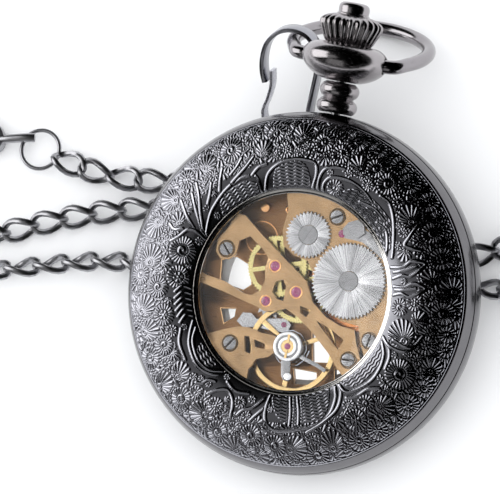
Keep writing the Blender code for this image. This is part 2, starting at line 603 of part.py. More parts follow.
def build_train(watch, brass, steel, ruby):
    """Barrel, second, third, fourth and escape wheels. Each wheel drives the next one's pinion."""
    def split(one, two, big, small):
        span = between(one, two)
        return span * big / (big + small), span * small / (big + small)

    def mesh_phase(wheel_at, pinion_at, leaves):
        """A gap of the pinion faces the wheel, whose tip lies on the line of centres."""
        return heading(pinion_at, wheel_at) + math.pi / leaves

    barrel_r, second_leaf_r = split(BARREL_AT, SECOND_AT, BARREL_TEETH, PINION_LEAVES)
    second_r, third_leaf_r = split(SECOND_AT, THIRD_AT, SECOND_TEETH, PINION_LEAVES)
    third_r, fourth_leaf_r = split(THIRD_AT, FOURTH_AT, THIRD_TEETH, PINION_LEAVES)
    fourth_r, escape_leaf_r = split(FOURTH_AT, ESCAPE_AT, FOURTH_TEETH, ESCAPE_LEAVES)
    low = MAIN_N[1] + 0.06
    high = BRIDGE_N[0] - 0.06

    outline = teeth(BARREL_TEETH, barrel_r, heading(BARREL_AT, SECOND_AT))
    place(flat("barrel", outline, *BARREL_N, holes=[circle(0.96, SMALL)]), "barrel", brass, watch,
          at_n(BARREL_AT))
    wall = [(DRUM_R[0], DRUM_N[0]), (DRUM_R[1], DRUM_N[0]), (DRUM_R[1], DRUM_N[1]), (DRUM_R[0], DRUM_N[1])]
    place(turned("barrel_drum", wall, 2 * FINE), "barrel_drum", brass, watch, at_n(BARREL_AT))
    arbor = [(0, low), (0.9, low), (0.9, BRIDGE_N[0] + 0.3), (0.85, BRIDGE_N[1] - 0.02), (0, BRIDGE_N[1] - 0.02)]
    place(turned("barrel_arbor", arbor, SMALL, open_ends=True), "barrel_arbor", steel, watch, at_n(BARREL_AT))
    turns = 4
    coil = [(1.25 + 3.75 * i / (turns * SMALL), math.tau * i / SMALL) for i in range(turns * SMALL + 1)]
    coil = [(r * math.cos(a), r * math.sin(a)) for r, a in coil]
    place(flat("mainspring", ribbon(coil, 0.22), *DRUM_N), "mainspring", steel, watch, at_n(BARREL_AT))

    outline = teeth(SECOND_TEETH, second_r, heading(SECOND_AT, THIRD_AT))
    spoked_wheel("second_wheel", watch, brass, SECOND_AT, SECOND_N, outline, second_r - 0.6, 0.3)
    pinion("second_pinion", watch, steel, SECOND_AT, PINION_LEAVES, second_leaf_r,
           (BARREL_N[0] - 0.02, BARREL_N[1] + 0.1), (low, high),
           phase=mesh_phase(BARREL_AT, SECOND_AT, PINION_LEAVES))

    outline = teeth(THIRD_TEETH, third_r, heading(THIRD_AT, FOURTH_AT))
    spoked_wheel("third_wheel", watch, brass, THIRD_AT, THIRD_N, outline, third_r - 0.55, 0.3, turn=0.3)
    pinion("third_pinion", watch, steel, THIRD_AT, PINION_LEAVES, third_leaf_r,
           (SECOND_N[0] - 0.1, SECOND_N[1] + 0.1), (low, high),
           phase=mesh_phase(SECOND_AT, THIRD_AT, PINION_LEAVES))

    outline = teeth(FOURTH_TEETH, fourth_r, heading(FOURTH_AT, ESCAPE_AT))
    spoked_wheel("fourth_wheel", watch, brass, FOURTH_AT, FOURTH_N, outline, fourth_r - 0.55, 0.3, turn=0.1)
    pinion("fourth_pinion", watch, steel, FOURTH_AT, PINION_LEAVES, fourth_leaf_r,
           (THIRD_N[0] - 0.1, THIRD_N[1] + 0.1), (low, high),
           phase=mesh_phase(THIRD_AT, FOURTH_AT, PINION_LEAVES))

    outline = teeth(ESCAPE_TEETH, 1.95, 0.1, tall=0.2, deep=0.35, lean=0.1)
    spoked_wheel("escape_wheel", watch, steel, ESCAPE_AT, ESCAPE_N, outline, 1.35, 0.3, spoke=0.22)
    pinion("escape_pinion", watch, steel, ESCAPE_AT, ESCAPE_LEAVES, escape_leaf_r,
           (FOURTH_N[0] - 0.1, FOURTH_N[1] + 0.1), (low, high), shaft_r=0.16,
           phase=mesh_phase(FOURTH_AT, ESCAPE_AT, ESCAPE_LEAVES))

    cup = [(0, BRIDGE_N[0]), (0.44, BRIDGE_N[0]), (0.44, BRIDGE_N[1] + 0.02), (0, BRIDGE_N[1] + 0.02)]
    for name, at in (("third", THIRD_AT), ("fourth", FOURTH_AT), ("escape", ESCAPE_AT)):
        place(turned("jewel_" + name, cup, SMALL, open_ends=True), "jewel_" + name, ruby, watch, at_n(at))


def build_winding(watch, steel):
    meet = heading(CROWN_WHEEL_AT, BARREL_AT)
    level = TOP_WHEEL_N
    small = teeth(CROWN_WHEEL_TEETH, CROWN_WHEEL_R, meet, 0.08, 0.32)
    hub = 1.3
    place(flat("crown_wheel", small, *level, holes=[circle(hub, FINE)]), "crown_wheel", steel, watch,
          at_n(CROWN_WHEEL_AT))
    large = teeth(RATCHET_TEETH, RATCHET_R, meet + math.pi + math.pi / RATCHET_TEETH, 0.08, 0.32)
    place(flat("ratchet_wheel", large, *level, holes=[circle(hub, FINE)]), "ratchet_wheel", steel, watch,
          at_n(BARREL_AT))
    for name, at, deep in (("crown_wheel_screw", CROWN_WHEEL_AT, BRIDGE_N[0]),
                           ("ratchet_screw", BARREL_AT, BRIDGE_N[1] + 0.02)):
        shank = 0.42
        head = hub - PIVOT_GAP
        core = [(0, deep), (shank, deep), (shank, level[0]), (head, level[0]), (head, level[1] + 0.04),
                (0, level[1] + 0.04)]
        made = place(turned(name, core, FINE, open_ends=True), name, steel, watch, at_n(at))
        slot = flat(name + "_slot", [(-2, -0.08), (2, -0.08), (2, 0.08), (-2, 0.08)], level[1] - 0.06, 4)
        slot = place(slot, name + "_slot", steel, watch, at_n(at), (0, 0, 1.1 if deep < 2.5 else 0.45))
        combine(made, slot, "DIFFERENCE")
    outline = [(-1.3, -0.9), (0.7, -1.0), (1.5, -0.2), (1.1, 0.9), (0.2, 1.3), (-0.9, 0.8), (-1.5, -0.1)]
    place(flat("click", outline, *level), "click", steel, watch, at_n(CLICK_AT))
    leaves = teeth(WINDING_LEAVES, CROWN_WHEEL_R * WINDING_LEAVES / CROWN_WHEEL_TEETH, 0.0, 0.1, 0.3)
    place(flat("winding_pinion", leaves, 11.0, 12.4), "winding_pinion", steel, watch,
          turn=(-math.pi / 2, 0, 0))


def build_escapement(watch, brass, steel):
    lever = heading(PALLET_AT, BALANCE_AT)
    fork = [(-0.9, 1.15), (-0.45, 1.35), (-0.3, 0.3), (0.3, 0.25), (2.2, 0.14), (2.5, 0.32), (2.5, 0.12),
            (2.3, 0.0), (2.5, -0.12), (2.5, -0.32), (2.2, -0.14), (0.3, -0.25), (-0.3, -0.3),
            (-0.45, -1.35), (-0.9, -1.15), (-0.62, 0.0)]
    made = flat("pallet_fork", fork, *ESCAPE_N, holes=[circle(0.12, 6)])
    place(made, "pallet_fork", steel, watch, at_n(PALLET_AT), (0, 0, lever))
    staff = [(0, MAIN_N[1] + 0.06), (0.18, MAIN_N[1] + 0.06), (0.18, 0.62), (0.5, 0.62), (0.5, 1.2),
             (0.2, 1.2), (0.2, BRIDGE_N[0] + 0.3), (0, BRIDGE_N[0] + 0.3)]
    place(turned("balance_staff", staff, SMALL, open_ends=True), "balance_staff", steel, watch,
          at_n(BALANCE_AT))
    spoked_wheel("balance_wheel", watch, brass, BALANCE_AT, BALANCE_N, circle(BALANCE_R, STEPS),
                 BALANCE_R - 0.75, 0.56, spoke=0.32, turn=0.5, count=3)
    turns = 4
    coil = [(0.75 + 1.75 * i / (turns * SMALL), math.tau * i / SMALL) for i in range(turns * SMALL + 1)]
    coil = [(r * math.cos(a), r * math.sin(a)) for r, a in coil]
    place(flat("hairspring", ribbon(coil, 0.09), 1.4, 1.62), "hairspring", steel, watch, at_n(BALANCE_AT))

    low = BRIDGE_N[1] + 0.04
    lever = circle(1.75, 9, start=math.radians(-62), end=math.radians(248))
    lever += [(0.0, -1.7), (0.35, -3.3), (0.6, -4.2), (1.2, -4.2), (1.2, -3.3), (0.75, -1.65)]
    made = flat("regulator", lever, low, low + 0.14, holes=[circle(1.15, SMALL)])
    place(made, "regulator", steel, watch, at_n(BALANCE_AT))
    ring = [(1.05, low + 0.2), (1.8, low + 0.2), (1.8, low + 0.42), (1.05, low + 0.42)]
    place(turned("shock_setting", ring, SMALL), "shock_setting", steel, watch, at_n(BALANCE_AT))


def build_dial_side(watch, brass, steel, enamel, black):
    span = between(FOURTH_AT, MINUTE_AT)
    cannon_r = span * CANNON_LEAVES / (CANNON_LEAVES + MINUTE_TEETH)
    minute_r = span - cannon_r
    minute_leaf_r = span * MINUTE_LEAVES / (MINUTE_LEAVES + HOUR_TEETH)
    hour_r = span - minute_leaf_r
    meet = heading(FOURTH_AT, MINUTE_AT)
    cannon_n = (MAIN_N[0] - 0.5, MAIN_N[0] - 0.1)
    minute_n = (MAIN_N[0] - 0.38, MAIN_N[0] - 0.16)
    hour_n = (MAIN_N[0] - 0.85, MAIN_N[0] - 0.62)

    made = place(flat("cannon_pinion", teeth(CANNON_LEAVES, cannon_r, meet), *cannon_n),
                 "cannon_pinion", steel, watch)
    pipe = [(0, MINUTE_HAND_N[0] - 0.1), (0.3, MINUTE_HAND_N[0] - 0.1), (0.3, MINUTE_HAND_N[1] + 0.05),
            (0.42, MINUTE_HAND_N[1] + 0.05), (0.42, cannon_n[0] + 0.1), (0, cannon_n[0] + 0.1)]
    pipe = place(turned("cannon_pipe", pipe, SMALL, open_ends=True), "cannon_pipe", steel, watch)
    combine(made, pipe, "UNION")

    outline = teeth(MINUTE_TEETH, minute_r, meet + math.pi + math.pi / MINUTE_TEETH)
    made = place(flat("minute_wheel", outline, *minute_n), "minute_wheel", brass, watch, at_n(MINUTE_AT))
    leaves = teeth(MINUTE_LEAVES, minute_leaf_r, meet + math.pi + math.pi / MINUTE_LEAVES)
    leaves = flat("minute_leaves", leaves, hour_n[0] - 0.1, minute_n[0] + 0.1)
    combine(made, place(leaves, "minute_leaves", brass, watch, at_n(MINUTE_AT)), "UNION")

    pipe_in = 0.52
    pipe_out = 0.8
    outline = teeth(HOUR_TEETH, hour_r, meet)
    made = place(flat("hour_wheel", outline, *hour_n, holes=[circle(pipe_in, SMALL)]), "hour_wheel",
                 brass, watch)
    pipe = [(pipe_in, HOUR_HAND_N[0]), (pipe_out, HOUR_HAND_N[0]), (pipe_out, hour_n[0] + 0.1),
            (pipe_in, hour_n[0] + 0.1)]
    combine(made, place(turned("hour_pipe", pipe, SMALL), "hour_pipe", brass, watch), "UNION")

    def hand(name, long, boss, bore, levels):
        pear = [(0.28, 0.9), (0.22, long * 0.62), (0.85, long * 0.72), (0.3, long * 0.84), (0, long)]
        side = circle(boss, 10, start=math.radians(70), end=math.radians(-250))
        outline = pear[::-1] + side + [(-x, y) for x, y in pear[:-1]]
        return place(flat(name, outline, *levels, holes=[circle(bore, SMALL)]), name, black, watch)

    hand("hour_hand", HOUR_HAND_L, 1.35, pipe_out + 0.05, HOUR_HAND_N).rotation_euler = (0, 0, 1.0)
    hand("minute_hand", MINUTE_HAND_L, 0.95, 0.36, MINUTE_HAND_N).rotation_euler = (0, 0, -0.9)
    inner, outer = DIAL_R
    face = [(inner, DIAL_N[0]), (outer, DIAL_N[0]), (outer, DIAL_N[1]), (inner, DIAL_N[1])]
    place(turned("dial", face, STEPS), "dial", enamel, watch)


# ---------------------------------------------------------------- chain

ROUTE = [(-8.3, 15.9), (0.0, 12.0), (6.0, 9.8), (12.0, 8.9), (18.6, 9.8), (28.0, 14.5), (34.5, 16.6),
         (40.0, 15.0), (41.5, 10.6), (37.5, 7.2), (31.0, 6.2), (19.4, 6.2), (13.0, 4.2), (5.0, 1.6),
         (-3.0, -0.3), (-14.0, -0.9), (-26.4, 1.1), (-39.7, -1.9), (-49.0, -4.8), (-55.0, -5.8),
         (-60.5, -4.4), (-62.5, -0.4), (-59.5, 2.6), (-54.0, 2.6), (-49.5, 1.2), (-44.8, 1.7),
         (-41.1, 3.4), (-33.4, 6.4), (-25.6, 8.6), (-22.0, 8.6), (-18.5, 7.1), (-14.8, 6.6), (-12.0, 8.7),
         (-11.7, 12.2), (-14.6, 15.2), (-18.6, 15.0), (-22.0, 13.1), (-28.3, 12.0), (-36.2, 12.4),
         (-38.6, 13.0)]


def watch_shift():
    """How far the watch's centre lies from the origin along the table."""
    return watch_matrix().to_translation().y


def build_chain(steel, shell):
    shift = watch_shift()
    route = [(x, y + shift, CHAIN_R + 0.05) for x, y in ROUTE]
    curve = tube("chain", smooth(route, CHAIN_POINTS), CHAIN_R)
    made = bpy.data.objects.new("chain", curve)
    bpy.context.collection.objects.link(made)
    curve.materials.append(shell)

    ring = [(RING_R * math.cos(a), RING_R * math.sin(a), 0)
            for a in (math.tau * i / FINE for i in range(FINE))]
    loop = tube("end_ring", ring, RING_WIRE_R, closed=True, resolution=1)
    made = bpy.data.objects.new("end_ring", loop)
    bpy.context.collection.objects.link(made)
    made.location = Vector((RING_AT[0], RING_AT[1] + shift, 1.0)) * MM
    made.data.materials.append(shell)

    hook = [(0.35, 0.55), (1.6, 0.8), (2.2, 1.9), (5.0, 2.6), (9.0, 2.7), (12.6, 1.9), (14.2, 0.2),
            (13.4, -1.6), (11.0, -2.7), (7.5, -3.0), (4.5, -2.7), (2.2, -1.9), (1.6, -0.8), (0.35, -0.55)]
    slot = [(4.0, 0.9), (9.0, 1.3), (11.6, 0.9), (12.4, 0.0), (11.6, -1.0), (9.0, -1.5), (4.2, -1.3)]
    clasp = flat("end_clasp", hook, 0.35, 2.05, holes=[slot])
    at = (RING_AT[0] - RING_R - RING_WIRE_R - 0.05, RING_AT[1] + shift + 0.3, 0)
    place(clasp, "end_clasp", shell, None, at, (0, 0, CLASP_TURN))


CLIP_PATH = [(-3.35, -6.3), (-3.8, -4.8), (-3.9, -3.0), (-3.45, -0.9), (-2.0, 0.8), (0.0, 1.4), (2.0, 0.85),
             (3.25, -0.8), (3.6, -3.2), (3.3, -6.0), (2.9, -9.0), (2.7, -12.0), (2.2, -15.4), (0.4, -17.2),
             (-1.6, -16.9), (-2.9, -15.6), (-3.5, -14.0)]
LEAF_PATH = [(-2.0, -14.2), (-2.8, -12.3), (-3.35, -10.3), (-2.85, -8.4), (-2.5, -6.6), (-2.6, -4.6)]


def build_clip(steel, shell):
    """The spring hook, in a plane square to the bow's wire, with its foot on the table."""
    middle = math.sqrt(BOW_R ** 2 - PIVOT_HALF ** 2)
    reach = middle + BOW_R * math.sin(CLIP_ON_BOW)
    hold = on_table(BOW_R * math.cos(CLIP_ON_BOW), BULB_U + reach * math.cos(BOW_FOLD),
                    -reach * math.sin(BOW_FOLD))
    seat = empty("clip_seat")
    seat.location = hold * MM
    seat.rotation_euler = (CLIP_SLOPE, 0, 0)
    hook = flat("chain_clip", ribbon(smooth(CLIP_PATH, 30), STRIP_T), -STRIP_W / 2, STRIP_W / 2)
    place(hook, "chain_clip", shell, seat)
    path = smooth([(x - LEAF_AT[0], y - LEAF_AT[1]) for x, y in LEAF_PATH], 12)
    leaf = flat("clip_leaf", ribbon(path, LEAF_T), -LEAF_W / 2, LEAF_W / 2)
    place(leaf, "clip_leaf", steel, seat, (*LEAF_AT, 0))


# ---------------------------------------------------------------- whole object

def main():
    for old in list(bpy.data.objects):
        bpy.data.objects.remove(old)
    shell = material("gunmetal", GUNMETAL, 1.0, 0.22)
    steel = material("polished_steel", STEEL, 1.0, 0.3)
    gilt = material("brushed_gilt", GILT, 1.0, 0.35)
    brass = material("wheel_brass", WHEEL_BRASS, 1.0, 0.35)
    glass = material("crystal", (0.9, 0.95, 0.95), 0.0, 0.02, 0.2)
    ruby = material("ruby", (0.4, 0.03, 0.12), 0.0, 0.1)
    enamel = material("enamel", (0.9, 0.9, 0.88), 0.0, 0.3)
    black = material("blued_steel", (0.03, 0.04, 0.08), 0.9, 0.25)

    watch = empty("watch")
    watch.matrix_world = Matrix.LocRotScale(watch_matrix().to_translation() * MM,
                                            watch_matrix().to_quaternion(), None)
    build_case(watch, shell, glass)
    build_pendant(watch, shell)
    build_bow(watch, shell)
    build_plates(watch, gilt, steel)
    build_train(watch, brass, steel, ruby)
    build_winding(watch, steel)
    build_escapement(watch, brass, steel)
    build_dial_side(watch, brass, steel, enamel, black)
    build_chain(steel, shell)
    build_clip(steel, shell)


main()
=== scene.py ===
"""The finished look of an open-face pocket watch, with an engraved see-through back, lying on its bow.

Sizes are in millimetres in the watch's own frame: x to the right as seen from the back, u from the
centre towards the crown, n out of the back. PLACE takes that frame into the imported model's. The chain
lies on the table, in the table's frame.
"""

import json
import math

import bmesh
import bpy
import numpy as np
from mathutils import Matrix, Vector


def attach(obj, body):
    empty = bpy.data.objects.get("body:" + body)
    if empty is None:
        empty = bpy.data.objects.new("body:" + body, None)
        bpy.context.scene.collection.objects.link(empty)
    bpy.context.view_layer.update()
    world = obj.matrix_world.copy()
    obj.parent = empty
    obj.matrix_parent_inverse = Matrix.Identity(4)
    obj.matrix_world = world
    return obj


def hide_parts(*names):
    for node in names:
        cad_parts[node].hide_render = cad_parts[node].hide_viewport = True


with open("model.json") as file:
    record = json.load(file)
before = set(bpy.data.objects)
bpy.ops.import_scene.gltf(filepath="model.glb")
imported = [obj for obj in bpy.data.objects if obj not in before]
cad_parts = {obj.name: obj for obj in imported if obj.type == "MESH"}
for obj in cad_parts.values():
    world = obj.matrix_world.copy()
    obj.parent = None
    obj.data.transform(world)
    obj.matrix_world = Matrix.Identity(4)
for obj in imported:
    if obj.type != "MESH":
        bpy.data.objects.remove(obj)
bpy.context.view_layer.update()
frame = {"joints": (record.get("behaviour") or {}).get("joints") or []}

bl_info = {
    "name": "Pocket Watch Finisher",
    "version": (1, 0, 0),
    "blender": (4, 5, 0),
    "location": "View3D > Sidebar > Pocket Watch",
    "description": "Models and finishes the pieces of an engraved pocket watch and its chain",
    "category": "Object",
}

MM = 0.001
JOINTS = {joint["name"]: joint for joint in frame["joints"]}
OUT_OF_BACK = Vector(JOINTS["fourth_spin"]["axis"])
TILT = math.atan2(-OUT_OF_BACK.y, OUT_OF_BACK.z)
CENTRE = Vector(JOINTS["fourth_spin"]["pos_m"]) - OUT_OF_BACK * MM
TURN = Matrix.Rotation(TILT, 4, "X")
PLACE = Matrix.Translation(CENTRE) @ TURN @ Matrix.Scale(MM, 4)
UPRIGHT = PLACE @ Matrix.Rotation(-math.pi / 2, 4, "X")
BOW_FOLD = math.radians(70)
BOW_PIVOT = Matrix.Translation((0, 30.6, 0))
BOW_AT = PLACE @ BOW_PIVOT @ Matrix.Rotation(-BOW_FOLD, 4, "X")
CLIP_SLOPE = math.radians(29.8)
CLIP_AT = (Matrix.Translation(JOINTS["clip_swing"]["pos_m"]) @ Matrix.Rotation(CLIP_SLOPE, 4, "X")
           @ Matrix.Scale(MM, 4))
BACK_N = 2.7  # top of the bridges
STEPS = 160


# ---------------------------------------------------------------- sizes and colours

class CaseSizes(bpy.types.PropertyGroup):
    relief: bpy.props.FloatProperty(name="Relief", description="Height of the engraving", default=0.10,
                                    min=0.0, max=0.3)
    plating: bpy.props.FloatVectorProperty(name="Plating", description="Colour of the dark plating",
                                           default=(0.33, 0.33, 0.36), size=3, subtype="COLOR")
    polish: bpy.props.FloatProperty(name="Polish", description="Roughness of the polished plating",
                                    default=0.16, min=0.0, max=1.0)


class MovementColours(bpy.types.PropertyGroup):
    gilt: bpy.props.FloatVectorProperty(name="Gilt", description="Colour of the bridges",
                                        default=(0.36, 0.232, 0.12), size=3, subtype="COLOR")
    brass: bpy.props.FloatVectorProperty(name="Brass", description="Colour of the train's wheels",
                                         default=(0.50, 0.43, 0.19), size=3, subtype="COLOR")
    steel: bpy.props.FloatVectorProperty(name="Steel", description="Colour of the steel wheels and screws",
                                         default=(0.31, 0.31, 0.315), size=3, subtype="COLOR")


class ChainSizes(bpy.types.PropertyGroup):
    wire: bpy.props.FloatProperty(name="Wire", description="Radius of a link's wire, in millimetres",
                                  default=0.44, min=0.2, max=0.8)
    pitch: bpy.props.FloatProperty(name="Pitch", description="From one link to the next, in millimetres",
                                   default=3.95, min=2.0, max=6.0)
    width: bpy.props.FloatProperty(name="Width", description="Width of a link, in millimetres",
                                   default=3.7, min=2.0, max=6.0)


class StageSettings(bpy.types.PropertyGroup):
    floor: bpy.props.FloatVectorProperty(name="Floor", description="Colour of the table", size=3,
                                         default=(0.88, 0.88, 0.88), subtype="COLOR")
    key: bpy.props.FloatProperty(name="Key", description="Brightness of the soft box on the left",
                                 default=2.5, min=0.0, max=50.0)
    overhead: bpy.props.FloatProperty(name="Overhead", description="Brightness of the box above",
                                      default=0.34, min=0.0, max=50.0)
    fill: bpy.props.FloatProperty(name="Fill", description="Brightness of the room's even light",
                                  default=1.52, min=0.0, max=50.0)


def settings(name):
    return getattr(bpy.context.scene, "watch_" + name)


# ---------------------------------------------------------------- materials

class Nodes:
    """A material's node tree, with short calls for the nodes that the finishes are made of."""

    def __init__(self, name, colour, metallic=1.0, roughness=0.3, **sockets):
        self.material = bpy.data.materials.new(name)
        self.material.use_nodes = True
        self.tree = self.material.node_tree
        self.shader = self.tree.nodes["Principled BSDF"]
        self.shader.inputs["Base Color"].default_value = (*colour, 1.0)
        self.shader.inputs["Metallic"].default_value = metallic
        self.shader.inputs["Roughness"].default_value = roughness
        for socket, value in sockets.items():
            self.shader.inputs[socket.replace("_", " ")].default_value = value

    def node(self, kind, inputs=(), **values):
        made = self.tree.nodes.new("ShaderNode" + kind)
        for key, value in values.items():
            setattr(made, key, value)
        for socket, value in dict(inputs).items():
            if hasattr(value, "links"):
                self.tree.links.new(value, made.inputs[socket])
            else:
                made.inputs[socket].default_value = value
        return made

    def link(self, output, socket):
        self.tree.links.new(output, self.shader.inputs[socket])

    def place(self, centre=None, turn=0.0, scale=(1, 1, 1)):
        """Coordinates in millimetres in the watch's frame, round a centre on a piece."""
        at = self.node("TexCoord").outputs["Object"]
        upright = self.node("Mapping", {"Vector": at, "Location": CENTRE + (centre or Vector()),
                                        "Rotation": (TILT, 0, 0)}, vector_type="TEXTURE")
        return self.node("Mapping", {"Vector": upright.outputs[0], "Rotation": (0, 0, turn),
                                     "Scale": [1000 * s for s in scale]}).outputs[0]

    def noise(self, at, scale, detail=2.0, roughness=0.5):
        return self.node("TexNoise", {"Vector": at, "Scale": scale, "Detail": detail,
                                      "Roughness": roughness}).outputs["Fac"]

    def range(self, value, low, high, to_low, to_high):
        return self.node("MapRange", {"Value": value, "From Min": low, "From Max": high, "To Min": to_low,
                                      "To Max": to_high}).outputs[0]

    def mix(self, factor, one, two):
        made = self.node("Mix", data_type="RGBA")
        self.tree.links.new(factor, made.inputs["Factor"])
        made.inputs["A"].default_value = (*one, 1)
        made.inputs["B"].default_value = (*two, 1)
        return made.outputs["Result"]

    def bump(self, height, strength, distance):
        made = self.node("Bump", {"Height": height, "Strength": strength, "Distance": distance})
        self.link(made.outputs[0], "Normal")


def shade(colour, factor):
    return tuple(min(1.0, c * factor) for c in colour)


def plated(name, wear=1.0, engraved=False, tint=(1.0, 1.0, 1.0)):
    """Dark polished plating: faint clouding, hairline scratches and, where engraved, dull hollows darkened
    as oxide and ridge tops lightened as painted highlight.
    """
    case = settings("case")
    tone = tuple(c * t for c, t in zip(case.plating, tint))
    made = Nodes(name, tone, roughness=case.polish)
    at = made.place()
    cloud = made.noise(at, 0.35, 3.0)
    hair = made.noise(made.place(scale=(1, 12, 1)), 1.6, 3.0, 0.7)
    if engraved:
        relief = made.node("Attribute", attribute_name="relief").outputs["Fac"]
        # Engraved: hollows darker as oxide, ridge tops lighter as painted highlight.
        made.link(made.mix(relief, shade(tone, 0.62), shade(tone, 1.5)), "Base Color")
        made.link(made.range(relief, 0.0, 1.0, 0.22, 0.14), "Roughness")
        made.bump(made.noise(at, 7.0, 3.0), 0.1, 0.00004)
        return made.material
    made.link(made.mix(cloud, shade(tone, 0.86), shade(tone, 1.12)), "Base Color")
    made.link(made.range(hair, 0.3, 0.75, case.polish - 0.04, case.polish + 0.07 * wear), "Roughness")
    made.bump(hair, 0.05 * wear, 0.00003)
    return made.material


def brushed(name, colour, turn=0.0, roughness=0.3, depth=0.25):
    """Metal brushed along straight lines."""
    made = Nodes(name, colour, roughness=roughness)
    grain = made.noise(made.place(turn=turn, scale=(0.6, 26, 1)), 1.0, 4.0, 0.65)
    cloud = made.noise(made.place(), 0.5, 2.0)
    tone = made.node("Math", {0: grain, 1: cloud}, operation="MULTIPLY").outputs[0]
    made.link(made.mix(made.range(tone, 0.1, 0.42, 0, 1), shade(colour, 0.72), shade(colour, 1.18)),
              "Base Color")
    made.link(made.range(grain, 0.25, 0.75, roughness - 0.08, roughness + 0.12), "Roughness")
    made.bump(grain, depth, 0.00004)
    return made.material


def sunburst(name, colour, centre, rays=60, roughness=0.3):
    """Metal brushed from a centre outwards, its rays lighter and darker in turn round the centre as painted
    reflection.
    """
    made = Nodes(name, colour, roughness=roughness)
    at = made.node("SeparateXYZ", {"Vector": made.place(centre)})
    turn = made.node("Math", {0: at.outputs["Y"], 1: at.outputs["X"]}, operation="ARCTAN2").outputs[0]
    wave = made.node("TexNoise", {"W": turn, "Scale": rays / 3, "Detail": 3.0, "Roughness": 0.6},
                     noise_dimensions="1D").outputs["Fac"]
    painted_sector_reflection = made.node("TexNoise", {"W": turn, "Scale": 2.2, "Detail": 1.0},
                      noise_dimensions="1D").outputs["Fac"]
    tone = made.node("Math", {0: wave, 1: painted_sector_reflection}, operation="ADD").outputs[0]
    # Colour swings by angle round the centre: painted reflection of the brushed rays.
    made.link(made.mix(made.range(tone, 0.75, 1.25, 0, 1), shade(colour, 0.55), shade(colour, 1.45)),
              "Base Color")
    made.link(made.range(wave, 0.3, 0.7, roughness - 0.1, roughness + 0.15), "Roughness")
    made.bump(wave, 0.3, 0.00005)
    return made.material


def satin(name, colour, roughness=0.32, grain=3.0, metallic=1.0):
    """A fine even satin with faint stains."""
    made = Nodes(name, colour, metallic=metallic, roughness=roughness)
    speck = made.noise(made.place(), grain, 4.0, 0.6)
    stain = made.noise(made.place(), 0.7, 2.0)
    made.link(made.mix(stain, shade(colour, 0.82), shade(colour, 1.15)), "Base Color")
    made.link(made.range(speck, 0.3, 0.7, roughness - 0.06, roughness + 0.08), "Roughness")
    made.bump(speck, 0.12, 0.00002)
    return made.material


def ruby_stone():
    made = Nodes("ruby_stone", (0.34, 0.02, 0.12), metallic=0.0, roughness=0.06, Coat_Weight=0.6)
    depth = made.noise(made.place(), 1.2, 2.0)
    made.link(made.mix(depth, (0.16, 0.004, 0.045), (0.38, 0.03, 0.17)), "Base Color")
    return made.material


def crystal_glass():
    made = Nodes("crystal_glass", (1.0, 1.0, 1.0), metallic=0.0, roughness=0.0, IOR=1.35,
                 Transmission_Weight=1.0)
    smear = made.noise(made.place(), 0.25, 2.0)
    made.link(made.range(smear, 0.3, 0.8, 0.0, 0.015), "Roughness")
    return made.material


def enamel_white():
    made = Nodes("enamel_white", (0.86, 0.86, 0.83), metallic=0.0, roughness=0.22, Coat_Weight=0.4)
    cloud = made.noise(made.place(), 0.3, 2.0)
    made.link(made.mix(cloud, (0.80, 0.80, 0.77), (0.90, 0.90, 0.88)), "Base Color")
    return made.material


def table_white():
    colour = tuple(settings("stage").floor)
    made = Nodes("table_white", colour, metallic=0.0, roughness=0.55, Specular_IOR_Level=0.0)
    cloud = made.noise(made.place(), 0.02, 1.0)
    made.link(made.mix(cloud, shade(colour, 0.985), shade(colour, 1.01)), "Base Color")
    return made.material


# ---------------------------------------------------------------- making pieces

def finish(bm, name, material, body, replaces=(), matrix=PLACE, sharp=40, flip=False):
    """Turns a bmesh in millimetres into a piece that rides on a body."""
    bmesh.ops.remove_doubles(bm, verts=bm.verts, dist=1e-4)
    bmesh.ops.recalc_face_normals(bm, faces=bm.faces)
    if flip:
        bmesh.ops.reverse_faces(bm, faces=bm.faces)
    bm.transform(matrix)
    mesh = bpy.data.meshes.new(name)
    bm.to_mesh(mesh)
    bm.free()
    mesh.shade_smooth()
    mesh.set_sharp_from_angle(angle=math.radians(sharp))
    mesh.materials.append(material)
    return set_in(mesh, body, replaces)


def set_in(mesh, body, replaces=()):
    """Makes a mesh a piece that rides on a body."""
    piece = bpy.data.objects.new(mesh.name, mesh)
    bpy.context.collection.objects.link(piece)
    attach(piece, body)
    if replaces:
        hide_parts(*replaces)
    return piece


def rounded(points, count):
    """count points spread along a smooth curve through the points."""
    points = [Vector(p) for p in points]
    fine = []
    for i in range(len(points) - 1):
        b, c = points[i], points[i + 1]
        a = points[i - 1] if i else 2 * b - c
        d = points[i + 2] if i + 2 < len(points) else 2 * c - b
        for step in range(24):
            t = step / 24
            fine.append(0.5 * (2 * b + (c - a) * t + (2 * a - 5 * b + 4 * c - d) * t ** 2
                               + (3 * b - a - 3 * c + d) * t ** 3))
    fine.append(points[-1])
    along = [0.0]
    for one, two in zip(fine, fine[1:]):
        along.append(along[-1] + (two - one).length)
    found, k = [], 0
    for i in range(count):
        at = along[-1] * i / (count - 1)
        while along[k + 1] < at - 1e-9:
            k += 1
        share = (at - along[k]) / (along[k + 1] - along[k])
        found.append(fine[k].lerp(fine[k + 1], share))
    return found


def revolved(profile, steps=STEPS, axial=False, soften=0.0):
    """A bmesh turned about z from (radius, height) points. An axial profile starts and ends on the
    axis; soften rounds its corners."""
    bm = bmesh.new()
    ring = [bm.verts.new((p[0], 0, p[1])) for p in profile]
    edges = [bm.edges.new(pair) for pair in zip(ring, ring[1:] + ([] if axial else ring[:1]))]
    if soften:
        corners = [v for v in ring if v.co.x > 1e-6]
        bmesh.ops.bevel(bm, geom=corners, offset=soften, offset_type="OFFSET", segments=3, profile=0.5,
                        affect="VERTICES", clamp_overlap=True, material=-1)
        edges = list(bm.edges)
        ring = list(bm.verts)
    bmesh.ops.spin(bm, geom=ring + edges, cent=(0, 0, 0), axis=(0, 0, 1), angle=math.tau, steps=steps,
                   use_merge=True)
    return bm


